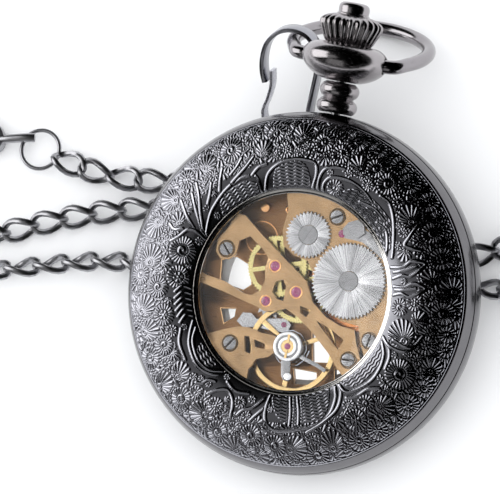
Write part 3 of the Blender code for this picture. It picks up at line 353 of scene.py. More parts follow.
def from_curve(curve):
    """A bmesh of a curve or a text."""
    holder = bpy.data.objects.new("holder", curve)
    mesh = bpy.data.meshes.new_from_object(holder)
    bpy.data.objects.remove(holder)
    bm = bmesh.new()
    bm.from_mesh(mesh)
    bpy.data.meshes.remove(mesh)
    return bm


def drawn(outline, low, high, holes=()):
    """A bmesh of a flat plate with holes, between two heights."""
    curve = bpy.data.curves.new("outline", "CURVE")
    curve.dimensions = "2D"
    curve.fill_mode = "BOTH"
    curve.extrude = (high - low) / 2
    for loop in (outline, *holes):
        spline = curve.splines.new("POLY")
        spline.points.add(len(loop) - 1)
        for point, co in zip(spline.points, loop):
            point.co = (co[0], co[1], 0, 1)
        spline.use_cyclic_u = True
    bm = from_curve(curve)
    bmesh.ops.translate(bm, verts=bm.verts, vec=(0, 0, (low + high) / 2))
    bmesh.ops.remove_doubles(bm, verts=bm.verts, dist=1e-4)
    bmesh.ops.recalc_face_normals(bm, faces=bm.faces)
    return bm


def chamfered(bm, width, segments=2):
    """Rounds the rims of a flat plate, where its faces meet its walls."""
    bmesh.ops.dissolve_limit(bm, angle_limit=math.radians(1), verts=bm.verts, edges=bm.edges)
    rims = [e for e in bm.edges if len(e.link_faces) == 2 and e.calc_face_angle() > math.radians(60)
            and abs(e.verts[0].co.z - e.verts[1].co.z) < 1e-3]
    bmesh.ops.bevel(bm, geom=rims, offset=width, offset_type="OFFSET", segments=segments, profile=0.5,
                    affect="EDGES", clamp_overlap=True, material=-1)
    return bm


def circle(radius, steps=48, at=(0, 0), start=0.0, end=math.tau):
    whole = abs(end - start - math.tau) < 1e-9
    turns = [start + (end - start) * i / steps for i in range(steps if whole else steps + 1)]
    return [(at[0] + radius * math.cos(a), at[1] + radius * math.sin(a)) for a in turns]


def ribbon(path, thick):
    """The outline of a strip of that thickness along a path in its plane."""
    left, right = [], []
    for i, at in enumerate(path):
        along = (path[min(i + 1, len(path) - 1)] - path[max(i - 1, 0)]).normalized()
        across = Vector((-along.y, along.x)) * thick / 2
        left.append(at + across)
        right.append(at - across)
    return left + right[::-1]


def shifted(bm, at, turn=0.0):
    bm.transform(Matrix.Translation((*at, 0)) @ Matrix.Rotation(turn, 4, "Z"))
    return bm


def wire(points, radius, closed=False, resolution=5):
    """A bmesh of a round wire through 3-D points."""
    curve = bpy.data.curves.new("wire", "CURVE")
    curve.dimensions = "3D"
    curve.bevel_depth = radius
    curve.bevel_resolution = resolution
    curve.use_fill_caps = True
    spline = curve.splines.new("POLY")
    spline.points.add(len(points) - 1)
    for point, co in zip(spline.points, points):
        point.co = (*co, 1)
    spline.use_cyclic_u = closed
    return from_curve(curve)


def refinish(names, material):
    """Gives CAD nodes a better material."""
    for name in names:
        mesh = bpy.data.objects[name].data
        mesh.materials.clear()
        mesh.materials.append(material)


def fine_copy(node, edge, corner=0.0):
    """A merged copy of a flat CAD node in millimetres, with rounded corners and rims."""
    bm = bmesh.new()
    bm.from_mesh(bpy.data.objects[node].data)
    bm.transform(PLACE.inverted())
    bmesh.ops.remove_doubles(bm, verts=bm.verts, dist=2e-4)
    bmesh.ops.dissolve_limit(bm, angle_limit=math.radians(1), verts=bm.verts, edges=bm.edges)
    if corner:
        posts = [e for e in bm.edges if len(e.link_faces) == 2 and e.calc_face_angle() > math.radians(8)
                 and (e.verts[0].co.xy - e.verts[1].co.xy).length < 1e-3]
        bmesh.ops.bevel(bm, geom=posts, offset=corner, offset_type="OFFSET", segments=4, profile=0.5,
                        affect="EDGES", clamp_overlap=True, material=-1)
    top = max(v.co.z for v in bm.verts)
    # Rim bevels take material slot 1, which the plates fill with lighter gilt as painted highlight.
    rims = [e for e in bm.edges if len(e.link_faces) == 2 and e.calc_face_angle() > math.radians(60)
            and min(v.co.z for v in e.verts) > top - 1e-3]
    bmesh.ops.bevel(bm, geom=rims, offset=edge, offset_type="OFFSET", segments=2, profile=0.5,
                    affect="EDGES", clamp_overlap=True, material=1)
    return bm


# ---------------------------------------------------------------- case

# Panels of wavy lines, each as (middle, half width in degrees, inner radius, outer radius).
PANELS = ((53, 23, 13.0, 16.0), (100.5, 11, 13.2, 16.8), (130, 14, 13.3, 15.6), (226, 8, 13.2, 14.9),
          (286, 17, 13.1, 17.1), (325, 16, 13.1, 15.1))
# Raised scrolls, each as (degrees, radius) points.
RIDGES = (
    ((28, 14), (31, 14.4), (38, 15.4), (45, 16.5), (51, 17.2), (56, 17.0)),
    ((30, 13.2), (36, 14.1), (42, 14.7), (48, 14.3)), ((46, 15.3), (54, 15.2), (62, 14.6)),
    ((57, 15.6), (64, 16.0), (72, 16.1), (80, 15.6), (83, 14.6), (83, 13.5)),
    ((89, 13.4), (88, 15.4), (90, 16.8), (98, 17.1), (105, 16.7), (112, 15.5), (116, 13.4)),
    ((118, 13.4), (118, 15.4), (121, 16), (128, 16.1), (135, 15.8), (142, 15.3), (148, 14.8), (158, 13.7)),
    ((112, 16.8), (116, 16.6), (120, 15.9)), ((117, 18.2), (120, 17.5), (123, 17), (130, 16.2)),
    ((122, 18.6), (125, 17.8), (129, 17.2)), ((131, 18.6), (134, 17.4), (137, 16.2)),
    ((138, 17.8), (141, 16.8), (145, 16)), ((147, 18.6), (150, 17), (155, 15), (160, 13.6)),
    ((143, 19.2), (146, 17.4), (151, 15.8), (156, 14.4)), ((152, 19.2), (155, 17.4), (158, 15.6)),
    ((160, 13.6), (159, 14.8), (160, 16), (165, 16.8), (168, 17.6)), ((162, 18.8), (163, 17.8), (161, 16.8)),
    ((188, 13.5), (187, 14.6), (190, 15.6)), ((191, 13.4), (190, 14.5), (193, 15.6)),
    ((194, 13.4), (193, 14.5), (196, 15.6)), ((197, 13.4), (196, 14.5), (199, 15.6)),
    ((200, 13.4), (199, 14.5), (202, 15.5)), ((203, 13.5), (202, 14.4), (205, 15.4)),
    ((206, 13.7), (212, 14.6), (218, 15.3), (228, 15.7), (236, 14.8), (240, 13.4)),
    ((210, 13.6), (216, 14.6), (225, 15.15), (232, 14.9), (238, 13.7)),
    ((208, 15.5), (214, 16.3), (222, 16.6)), ((233, 17.2), (235, 16.7), (236, 15.8), (239, 15.3)),
    ((240, 17.2), (243, 15.8), (247, 15.2), (252, 16.2), (254, 18.5)),
    ((244, 14.3), (250, 14.7), (257, 14.2)),
    ((256, 17.4), (258, 16.4), (262, 15.6), (266, 14.2)), ((262, 17.6), (265, 16.2), (269, 14.8)),
    ((269, 13.3), (268, 15.6), (270, 17.3), (276, 18), (290, 17.6), (298, 16.8), (304, 15), (306, 13.4)),
    ((280, 13.4), (280.5, 15.5), (280, 17.3)), ((284, 13.4), (284.5, 15.5), (284, 17.2)),
    ((287, 18.3), (295, 17.4), (303, 16.3), (308, 14.5), (308, 13.2)),
    ((308, 13.3), (311, 15), (322, 15.7), (330, 15.5), (337, 14.8), (342, 13.7)),
    ((309, 15.6), (314, 16.1), (320, 16.3), (324, 17.2)), ((332, 16.1), (338, 15.6), (344, 14.4)),
    ((348, 18.3), (343, 17), (342, 15), (345, 13.3)), ((352, 18.5), (347, 17.9), (345, 16.8), (345.5, 15)),
    ((8, 13.3), (9, 14.6), (7.5, 15.8), (11, 17.9), (13.5, 16.4), (12, 15), (13, 13.3)),
    ((17, 13.3), (18, 14.8), (17, 16.0), (21, 18.2), (23.5, 16.6), (22, 15.2), (23.5, 13.3)),
    ((11, 13.8), (10.8, 15.2), (11.4, 16.6)), ((20.4, 13.8), (20.2, 15.4), (21, 17)),
    ((27, 18.0), (31, 16.2), (34, 17.2), (37, 18.8)),
    ((76, 17.2), (80, 17.0), (84, 16.4), (86, 15.2), (86, 13.4)),
)
# The larger shells, each as (degrees, radius, size).
FLOWERS = ((2, 20.2, 1.5), (12, 20.9, 1.3), (22, 20.2, 1.5), (32, 20.0, 1.4), (42, 18.4, 1.5),
           (52, 20.6, 1.4), (65, 19.3, 1.3), (72, 18.6, 1.2), (80, 18.8, 1.3), (88, 19.7, 1.3),
           (97, 20.6, 1.3), (103, 18.3, 1.1), (107, 20.6, 1.2), (112, 18.9, 1.2), (116, 20.9, 1.2),
           (125, 20.2, 1.6), (135, 20.3, 1.3), (145, 20.6, 1.3), (170, 15.6, 1.9), (176, 19.6, 1.6),
           (183, 15.3, 1.6), (188, 18.0, 1.5), (195, 20.0, 1.6), (200, 17.4, 1.5), (212, 18.4, 1.4),
           (225, 18.0, 1.4), (246, 17.8, 1.2), (264, 19.3, 1.5), (296, 19.9, 1.5), (308, 18.7, 1.5),
           (334, 18.0, 2.0), (350, 15.6, 1.9), (349, 19.2, 1.3), (355, 21.1, 1.1), (343, 20.8, 1.2),
           (5, 16.6, 1.2), (2, 14.6, 1.2), (321, 19.2, 1.3))


def polar(degrees, radius):
    return Vector((radius * math.cos(math.radians(degrees)), radius * math.sin(math.radians(degrees))))


def under_panel(turn, radius, margin=0.0):
    """Where points lie in one of the panels of wavy lines."""
    found = np.zeros(np.shape(turn), bool)
    for middle, half, low, high in PANELS:
        away = np.abs((turn - middle + 180) % 360 - 180) / (half + margin * 3)
        arch = high + margin - (high - low) * np.minimum(away, 1) ** 4
        found |= (away < 1) & (radius < arch)
    return found


def ridge_lines():
    return [rounded([polar(*p).to_3d() for p in ridge], 8 * len(ridge)) for ridge in RIDGES]


def scattered(lines):
    """Shells as (x, y, size, kind), each lying over those after it: the chosen ones, then ever smaller
    ones between the scrolls, then rows of fans that fill the outer half."""
    rng = np.random.default_rng(11)
    found = [(*polar(a, r), size, k % 3) for k, (a, r, size) in enumerate(FLOWERS)]
    taken = np.array([shell[:3] for shell in found] + [(p.x, p.y, 0.16) for line in lines for p in line])
    for size in (1.5, 1.3, 1.15, 1.0, 0.85, 0.7, 0.56, 0.44):
        for attempt in range(900):
            r = rng.uniform(13.4 + size * 0.8, 22.5 - size * 0.8)
            a = rng.uniform(0, 360)
            x, y = polar(a, r)
            apart = np.hypot(taken[:, 0] - x, taken[:, 1] - y) - taken[:, 2] * 0.9
            if apart.min() > size * 0.9 and not under_panel(a, r - size * 0.6, 0.3):
                found.append((x, y, size, int(rng.integers(0, 5))))
                taken = np.vstack((taken, (x, y, size)))
    for row, r in enumerate((21.5, 20.6, 19.6, 18.7, 17.9)):
        count = round(math.tau * r / 1.7)
        for i in range(count):
            a = (i + 0.5 * (row % 2) + rng.uniform(-0.15, 0.15)) * 360 / count
            found.append((*polar(a, r), rng.uniform(0.95, 1.2), 1))
    return found


def shell_form(dx, dy, size, kind, lean):
    """Height of one shell of radiating ribs at offsets from its centre."""
    d = np.hypot(dx, dy) / size
    phi = np.arctan2(dy, dx) - lean
    ribs = max(7, round(size * 12.5))
    edge = np.clip((1.0 - d) / 0.1, 0, 1)
    if kind in (0, 3):
        rays = np.clip(0.55 + 0.75 * np.cos(ribs * phi + 3.5 * d), 0, 1)
        curl = 0.5 + 0.5 * np.cos(phi - math.tau * 2.4 * d)
        return np.where(d < 0.36, curl, rays * (d > 0.44)) * edge
    if kind in (1, 4):
        hinge = np.hypot(dx + 0.62 * size * math.cos(lean), dy + 0.62 * size * math.sin(lean))
        away = np.arctan2(dy + 0.62 * size * math.sin(lean), dx + 0.62 * size * math.cos(lean)) - lean
        rays = np.clip(0.55 + 0.75 * np.cos(ribs * 1.1 * away), 0, 1)
        return np.where(hinge < 0.3 * size, 0.5 + 0.5 * np.cos(hinge / size * 30), rays) * edge
    rays = np.clip(0.55 + 0.75 * np.cos(ribs * phi), 0, 1)
    petals = 0.5 + 0.5 * np.cos(6 * phi)
    return np.where(d < 0.42, petals * (d > 0.14) + (d < 0.12), rays * (d > 0.5)) * edge


def gap_to_line(x, y, line):
    """The points near a line, as indices, and how far from it each of them lies."""
    xs = [p.x for p in line]
    ys = [p.y for p in line]
    beside = (x > min(xs) - 0.6) & (x < max(xs) + 0.6) & (y > min(ys) - 0.6) & (y < max(ys) + 0.6)
    near = np.flatnonzero(beside)
    px, py = x[near], y[near]
    gap = np.full(near.shape, 9.0)
    for (x0, y0), (x1, y1) in zip(zip(xs, ys), zip(xs[1:], ys[1:])):
        long = (x1 - x0) ** 2 + (y1 - y0) ** 2
        share = np.clip(((px - x0) * (x1 - x0) + (py - y0) * (y1 - y0)) / long, 0, 1)
        gap = np.minimum(gap, np.hypot(px - x0 - share * (x1 - x0), py - y0 - share * (y1 - y0)))
    return near, gap


def ornament(x, y):
    """Height of the engraving, 0 to 1, at points in millimetres on the back."""
    radius = np.hypot(x, y)
    turn = np.degrees(np.arctan2(y, x)) % 360
    height = np.zeros(x.shape)
    lines = ridge_lines()
    free = np.ones(x.shape, bool)
    for k, (cx, cy, size, kind) in enumerate(scattered(lines)):
        near = np.flatnonzero(free & (np.hypot(x - cx, y - cy) < size * 1.04))
        lean = math.atan2(cy, cx) + 1.9 * k
        height[near] = shell_form(x[near] - cx, y[near] - cy, size, kind, lean)
        free[near] = False
    inside = under_panel(turn, radius)
    zigzag = 0.075 * np.cos(math.tau * turn / 4.0)
    height = np.where(inside, 0.85 * (0.5 + 0.5 * np.cos(math.tau * (radius + zigzag) / 0.43)), height)
    for line in lines:
        near, gap = gap_to_line(x, y, line)
        height[near] = np.where(gap < 0.3, np.clip((0.24 - gap) / 0.12, 0, 1), height[near])
    return height * np.clip((22.3 - radius) / 0.15, 0, 1) * np.clip((radius - 13.35) / 0.1, 0, 1)


DOME = ((13.25, 4.74), (13.7, 4.95), (15.2, 5.22), (17.0, 5.28), (18.6, 4.95), (20.3, 4.35),
        (21.3, 3.78), (22.18, 3.18), (22.45, 2.87))


ROWS = 118  # grid rows over the engraved face
ACROSS = 600  # grid columns in a sector
SECTORS = 3
GROUND = 0.6  # share of the relief at which the dome's own surface lies


def raise_sector(mesh, k, dome, section):
    """Bends a flat grid round sector k of the ring and lifts the engraving out of the dome."""
    co = np.empty(len(mesh.vertices) * 3)
    mesh.vertices.foreach_get("co", co)
    co = co.reshape(-1, 3)
    row = np.rint((co[:, 1] + 1) / 2 * (len(section) - 1)).astype(int)
    turn = (k + (1 - co[:, 0]) / 2) * math.tau / SECTORS
    radius, level = section[row, 0], section[row, 1]
    x, y = radius * np.cos(turn), radius * np.sin(turn)
    face = row <= ROWS
    raised = np.where(face, ornament(x, y), 0.0)
    lean = np.interp(radius, dome[:, 0], np.gradient(dome[:, 1], dome[:, 0])) * face
    ends = np.clip((22.4 - radius) / 0.15, 0, 1) * np.clip((radius - 13.3) / 0.1, 0, 1) * face
    lift = (raised - GROUND) * settings("case").relief * ends / np.sqrt(1 + lean ** 2)
    co[:, 0] = x - lift * lean * np.cos(turn)
    co[:, 1] = y - lift * lean * np.sin(turn)
    co[:, 2] = level + lift
    mesh.vertices.foreach_set("co", co.ravel())
    # The relief height also sets the plating's colour: hollows darker as oxide, ridge tops lighter as
    # painted highlight.
    mark = mesh.attributes.new("relief", "FLOAT", "POINT")
    mark.data.foreach_set("value", np.where(ends > 0.5, raised, GROUND).astype(np.float32))


def build_engraved_back():
    """The ring between the window and the rim, in sectors: a fine grid bent round and then raised."""
    dome = np.array([(p.x, p.z) for p in rounded([(r, 0, n) for r, n in DOME], 700)])
    section = [dome[round(i * (len(dome) - 1) / ROWS)] for i in range(ROWS + 1)]
    section += [(22.3, 2.4), (20.0, 3.4), (17.0, 4.35), (14.0, 4.35), (13.1, 4.2), (13.1, 4.6), section[0]]
    plating = plated("engraved_plating_oxide_and_highlight", engraved=True)
    for k in range(SECTORS):
        bm = bmesh.new()
        bmesh.ops.create_grid(bm, x_segments=ACROSS, y_segments=len(section) - 1, size=1)
        mesh = bpy.data.meshes.new(f"engraved_back_{k + 1}")
        bm.to_mesh(mesh)
        bm.free()
        raise_sector(mesh, k, dome, np.array(section))
        mesh.transform(PLACE)
        mesh.shade_smooth()
        mesh.materials.append(plating)
        set_in(mesh, "case", ("back_cover",))


def rim(degrees):
    """A point (radius, height) on the case's rounded edge."""
    a = math.radians(degrees)
    tall = 4.6 if degrees > 0 else 4.2
    return (20.3 + 3.2 * math.cos(a), -0.5 + tall * math.sin(a))


def build_case():
    polished = plated("polished_plating", tint=(0.5, 0.49, 0.47))
    back = [(22.45, 2.84), *(rim(d) for d in (42, 36, 30, 25, 21, 19.5)), (23.2, 0.95), (22.1, 0.95),
            (22.0, 2.0), (22.1, 2.5)]
    finish(revolved(back, 200, soften=0.04), "cover_rim", polished, "case", matrix=PLACE)
    middle = [(20.6, 0.9), (23.2, 0.9), *(rim(d) for d in (16.5, 12, 6, 0, -6, -12, -16.5)),
              (23.2, -1.85), (20.6, -1.85)]
    finish(revolved(middle, 200, soften=0.05), "case_band", polished, "case",
           replaces=("case_middle",))
    front = [(23.2, -2.0), *(rim(d) for d in (-22, -28, -36, -45, -55, -65, -74)), (20.0, -5.1),
             (19.0, -5.78), (17.95, -5.78), (17.9, -5.6), (17.9, -4.8), (19.4, -4.0), (20.9, -2.0)]
    finish(revolved(front, 200, soften=0.06), "bezel_ring", polished, "case",
           replaces=("front_bezel",))
    lip = [(12.68, 4.28), (12.68, 4.56), (12.76, 4.6), (12.98, 4.63), (13.2, 4.76), (13.32, 4.78),
           (13.4, 4.7), (13.4, 4.28)]
    bright = satin("lip_steel", (0.78, 0.76, 0.74), 0.14)
    finish(revolved(lip, 200, soften=0.02), "window_lip", bright, "case")
    wall = [(12.95, 3.55), (12.95, 2.95), (13.1, 0.6), (17.0, 0.6), (17.0, 2.9), (13.4, 3.55)]
    finish(revolved(wall, 120), "inner_wall", satin("black_wall", (0.03, 0.035, 0.035), 0.35, metallic=0.6),
           "case", replaces=("movement_ring",))
    glass = crystal_glass()
    for node, edge, low, high in (("back_crystal", 13.28, 3.42, 4.14), ("front_crystal", 17.75, -5.6, -4.9)):
        disc = [(0, low), (edge, low), (edge, high), (0, high)]
        finish(revolved(disc, 128, axial=True, soften=0.06), node + "_fine", glass, "case",
               replaces=(node,))


# ---------------------------------------------------------------- pendant, crown and bow

def build_pendant():
    polished = plated("pendant_plating", 2.2, tint=(1.06, 1.0, 0.94))
    beads = [(0.8, 23.62), (2.0, 23.62), (2.2, 23.66)]
    for radius, middle in ((2.65, 24.5), (2.58, 26.6)):
        for degrees in range(-65, 66, 10):
            a = math.radians(degrees)
            beads.append((radius - 0.95 + 0.95 * math.cos(a), middle + 1.0 * math.sin(a)))
        if middle < 25:
            beads.append((1.95, 25.55))
    beads += [(1.9, 27.62), (0.8, 27.62)]
    finish(revolved(beads, 96), "pendant_beads", polished, "case", replaces=("pendant_neck",),
           matrix=UPRIGHT)
    side = [(1.9, 27.75), (2.7, 27.9), (3.9, 28.4), (4.9, 29.15), (5.45, 29.9), (5.65, 30.6), (5.5, 31.35),
            (5.0, 32.0), (4.35, 32.42), (3.85, 32.58)]
    bulb = [(0.78, 27.75)] + [(p.x, p.y) for p in rounded(side, 36)]
    bulb += [(3.6, 32.6), (3.4, 32.5), (3.1, 32.2), (2.75, 32.02), (0.78, 32.0)]
    piece = finish(revolved(bulb, 160), "pendant_bulb_fine", polished, "case",
                   replaces=("pendant_bulb",), matrix=UPRIGHT)
    cutters = []
    for sign in (1, -1):
        bore = revolved([(0, 4.5), (1.08, 4.5), (1.08, 7.5), (0, 7.5)], 40, axial=True)
        bore.transform(PLACE @ BOW_PIVOT @ Matrix.Rotation(sign * math.pi / 2, 4, "Y"))
        cutters.append(bore)
    cut_with(piece, cutters)
    build_crown(polished)
    refinish(["stem", "winding_pinion"], satin("stem_steel", tuple(settings("movement").steel)))


def cut_with(piece, cutters):
    """Cuts shapes out of a piece and applies the cuts, so that the mesh holds them."""
    for i, bm in enumerate(cutters):
        bmesh.ops.recalc_face_normals(bm, faces=bm.faces)
        mesh = bpy.data.meshes.new("cutter")
        bm.to_mesh(mesh)
        bm.free()
        cutter = bpy.data.objects.new(f"cutter_{i}", mesh)
        bpy.context.collection.objects.link(cutter)
        modifier = piece.modifiers.new("Cut", "BOOLEAN")
        modifier.object = cutter
        modifier.operation = "DIFFERENCE"
        with bpy.context.temp_override(object=piece, active_object=piece):
            bpy.ops.object.modifier_apply(modifier="Cut")
        bpy.data.objects.remove(cutter)
    piece.data.set_sharp_from_angle(angle=math.radians(40))


def build_crown(polished):
    """The fluted crown: rounded ribs that run from its underside over its shoulder."""
    ribs = 24
    across = 10
    side = rounded([(2.75, 32.45), (3.2, 32.95), (3.62, 33.8), (4.0, 34.6), (4.15, 35.15), (3.95, 35.65),
                    (3.3, 36.08), (2.55, 36.34), (2.2, 36.38)], 26)
    profile = [(0, 32.8), (0.78, 32.8), (0.78, 32.4), (2.6, 32.38)] + [(p.x, p.y) for p in side]
    profile += [(2.1, 36.4), (0, 36.4)]
    bm = revolved(profile, ribs * across, axial=True)
    for vert in bm.verts:
        radius = vert.co.xy.length
        depth = min(1.0, max(0.0, (radius - 2.35) / 0.7)) * min(1.0, max(0.0, (vert.co.z - 32.42) / 0.5))
        groove = (0.5 - 0.5 * math.cos(ribs * math.atan2(vert.co.y, vert.co.x))) ** 1.5
        if radius > 1:
            vert.co.xy *= 1 - 0.34 * depth * groove / radius
    finish(bm, "crown_fluted", polished, "crown", replaces=("crown",), matrix=UPRIGHT, sharp=70)
    top = rounded([(2.02, 37.2), (1.95, 37.6), (1.7, 37.9), (1.2, 38.05), (0.0, 38.1)], 14)
    pommel = [(0, 36.3), (2.15, 36.3), (2.15, 36.5), (1.98, 36.62)] + [(p.x, p.y) for p in top]
    finish(revolved(pommel, 96, axial=True), "crown_pommel", polished, "crown", matrix=UPRIGHT)


def build_bow():
    middle = math.sqrt(8.8 ** 2 - 6.0 ** 2)
    arc = [(8.8 * math.cos(a), middle + 8.8 * math.sin(a), 0)
           for a in (math.radians(-30 + 240 * i / 24) for i in range(25))]
    path = [(4.85, 0, 0), (5.6, 0, 0), (6.3, 0.12, 0), (6.95, 0.62, 0), *arc, (-6.95, 0.62, 0),
            (-6.3, 0.12, 0), (-5.6, 0, 0), (-4.85, 0, 0)]
    plating = plated("bow_plating", tint=(0.95, 0.9, 0.86))
    finish(wire(rounded(path, 150), 0.9), "bow_wire", plating, "bow", replaces=("bow",),
           matrix=BOW_AT, sharp=50)


def build_clip():
    path = [(-3.35, -6.3), (-3.8, -4.8), (-3.9, -3.0), (-3.45, -0.9), (-2.0, 0.8), (0.0, 1.4), (2.0, 0.85),
            (3.25, -0.8), (3.6, -3.2), (3.3, -6.0), (2.9, -9.0), (2.7, -12.0), (2.2, -15.4), (0.4, -17.2),
            (-1.6, -16.9), (-2.9, -15.6), (-3.5, -14.0)]
    hook = drawn(ribbon(rounded(path, 110), 0.6), -1.1, 1.1)
    finish(chamfered(hook, 0.1), "spring_hook", plated("hook_plating", 1.6), "clip",
           replaces=("chain_clip",), matrix=CLIP_AT)
    path = [(-2.0, -14.2), (-2.8, -12.3), (-3.35, -10.3), (-2.85, -8.4), (-2.5, -6.6), (-2.6, -4.6)]
    leaf = drawn(ribbon(rounded(path, 50), 0.4), -0.9, 0.9)
    steel = satin("leaf_steel", shade(tuple(settings("case").plating), 1.6), 0.25)
    finish(chamfered(leaf, 0.08), "spring_leaf", steel, "clip_leaf",
           replaces=("clip_leaf",), matrix=CLIP_AT)


# ---------------------------------------------------------------- chain

ROUTE = [(-8.3, 15.9), (0.0, 12.0), (6.0, 9.8), (12.0, 8.9), (18.6, 9.8), (28.0, 14.5), (34.5, 16.6),
         (40.0, 15.0), (41.5, 10.6), (37.5, 7.2), (31.0, 6.2), (19.4, 6.2), (13.0, 4.2), (5.0, 1.6),
         (-3.0, -0.3), (-14.0, -0.9), (-26.4, 1.1), (-39.7, -1.9), (-49.0, -4.8), (-55.0, -5.8),
         (-60.5, -4.4), (-62.5, -0.4), (-59.5, 2.6), (-54.0, 2.6), (-49.5, 1.2), (-44.8, 1.7),
         (-41.1, 3.4), (-33.4, 6.4), (-25.6, 8.6), (-22.0, 8.6), (-18.5, 7.1), (-14.8, 6.6), (-12.0, 8.7),
         (-11.7, 12.2), (-14.6, 15.2), (-18.6, 15.0), (-22.0, 13.1), (-28.3, 12.0), (-36.2, 12.4),
         (-38.6, 13.0)]


def table_shift():
    """How far the watch's centre lies along the table from the origin."""
    return CENTRE.y / MM


def link_form(chain):
    """One oval link along x, twisted so that it lies flat beside the next."""
    long = chain.pitch + 2 * chain.wire + 0.5
    half_long = long / 2 - chain.wire
    half_wide = chain.width / 2 - chain.wire
    points = []
    for i in range(18):
        a = math.tau * i / 18
        x = half_long * math.cos(a)
        y = half_wide * math.copysign(abs(math.sin(a)) ** 0.75, math.sin(a))
        twist = 0.8 * x / half_long
        points.append((x, y * math.cos(twist), y * math.sin(twist)))
    return wire(points, chain.wire, closed=True, resolution=1)


CHAIN_HEIGHT = 1.62  # of its centre line above the table
FREE_LINKS = 8  # links at the far end that lie flatter than the rest
RING_AT = (-42.1, 13.9)


def build_chain():
    chain = settings("chain")
    route = [(x, y + table_shift(), CHAIN_HEIGHT) for x, y in ROUTE]
    fine = rounded(route, 600)
    total = sum((two - one).length for one, two in zip(fine, fine[1:]))
    count = round(total / chain.pitch)
    places = rounded(route[:-1] + [(-39.5, 13.2 + table_shift(), CHAIN_HEIGHT)], count + 1)
    pattern = link_form(chain)
    source = bpy.data.meshes.new("link")
    pattern.to_mesh(source)
    pattern.free()
    bm = bmesh.new()
    for i in range(count):
        along = (places[i + 1] - places[i]).normalized()
        middle = (places[i] + places[i + 1]) / 2
        across = Vector((0, 0, 1)).cross(along)
        basis = Matrix((along, across, Vector((0, 0, 1)))).transposed().to_4x4()
        free = i >= count - FREE_LINKS
        roll = math.radians((16 if i % 2 else -42) if free else 52)
        before = len(bm.verts)
        bm.from_mesh(source)
        bm.verts.ensure_lookup_table()
        bmesh.ops.transform(bm, verts=bm.verts[before:],
                            matrix=Matrix.Translation(middle) @ basis @ Matrix.Rotation(roll, 4, "X"))
    plating = satin("chain_plating", (0.42, 0.42, 0.44), 0.33)
    piece = finish(bm, "chain_links", plating, "case", replaces=("chain",),
                   matrix=Matrix.Scale(MM, 4), sharp=60)
    ring = [(x, y, 0) for x, y in circle(2.6)]
    at = Matrix.Scale(MM, 4) @ Matrix.Translation((RING_AT[0], RING_AT[1] + table_shift(), 1.0))
    loop = finish(wire(ring, 0.27, closed=True), "split_ring", plating, "case",
                  replaces=("end_ring",), matrix=at)
    clasp = build_clasp(plating)
    [tuple(p * MM) for p in rounded(route, 120)]


def build_clasp(plating):
    """The long flat hook at the chain's far end, and the shank that joins it to the ring."""
    hook = rounded([(2.0, 0.6), (2.3, 1.2), (3.0, 1.9), (5.0, 2.6), (9.0, 2.7), (12.6, 1.9), (14.1, 0.2),
                    (13.4, -1.6), (11.0, -2.7), (7.5, -3.0), (4.5, -2.7), (3.0, -1.9), (2.3, -1.2),
                    (2.0, -0.6)], 70)
    slot = rounded([(4.0, 0.6), (6.5, 1.1), (9.0, 1.2), (11.4, 0.8), (12.3, 0.0), (11.4, -0.9), (9.0, -1.4),
                    (6.5, -1.4), (4.2, -1.1), (3.9, -0.2)], 50)
    bm = chamfered(drawn(hook, 0.35, 2.0, holes=[slot]), 0.3, 3)
    at = Matrix.Translation((RING_AT[0] - 3.15, RING_AT[1] + table_shift() + 0.3, 0))
    at = at @ Matrix.Rotation(math.radians(182), 4, "Z")
    path = [(-43.0, 15.2, 1.7), (-44.4, 14.9, 1.9), (-46.6, 14.4, 1.7), (-48.2, 14.1, 1.3)]
    shank = wire(rounded(path, 24), 0.6)
    shank.transform(Matrix.Translation((0, table_shift(), 0)))
    finish(shank, "end_hook_shank", plating, "case", matrix=Matrix.Scale(MM, 4))
    return finish(bm, "end_hook", plating, "case", replaces=("end_clasp",),
                  matrix=Matrix.Scale(MM, 4) @ at, sharp=50)


# ---------------------------------------------------------------- movement

BARREL_AT = (6.7, 2.6)
THIRD_AT = (-3.4, 2.8)
FOURTH_AT = (0.0, 0.0)
ESCAPE_AT = (-3.8, -1.8)
BALANCE_AT = (0.2, -7.0)
CROWN_WHEEL_AT = (0.3, 7.5)
SCREWS = (((3.6, 10.4), 0.84, "barrel_bridge_screw_1"), ((10.7, -4.4), 0.86, "barrel_bridge_screw_2"),
          ((-10.2, 3.9), 0.86, "train_bridge_screw_1"), ((8.4, -7.3), 0.84, "train_bridge_screw_2"),
          ((-7.5, -7.9), 0.84, "balance_cock_screw"))


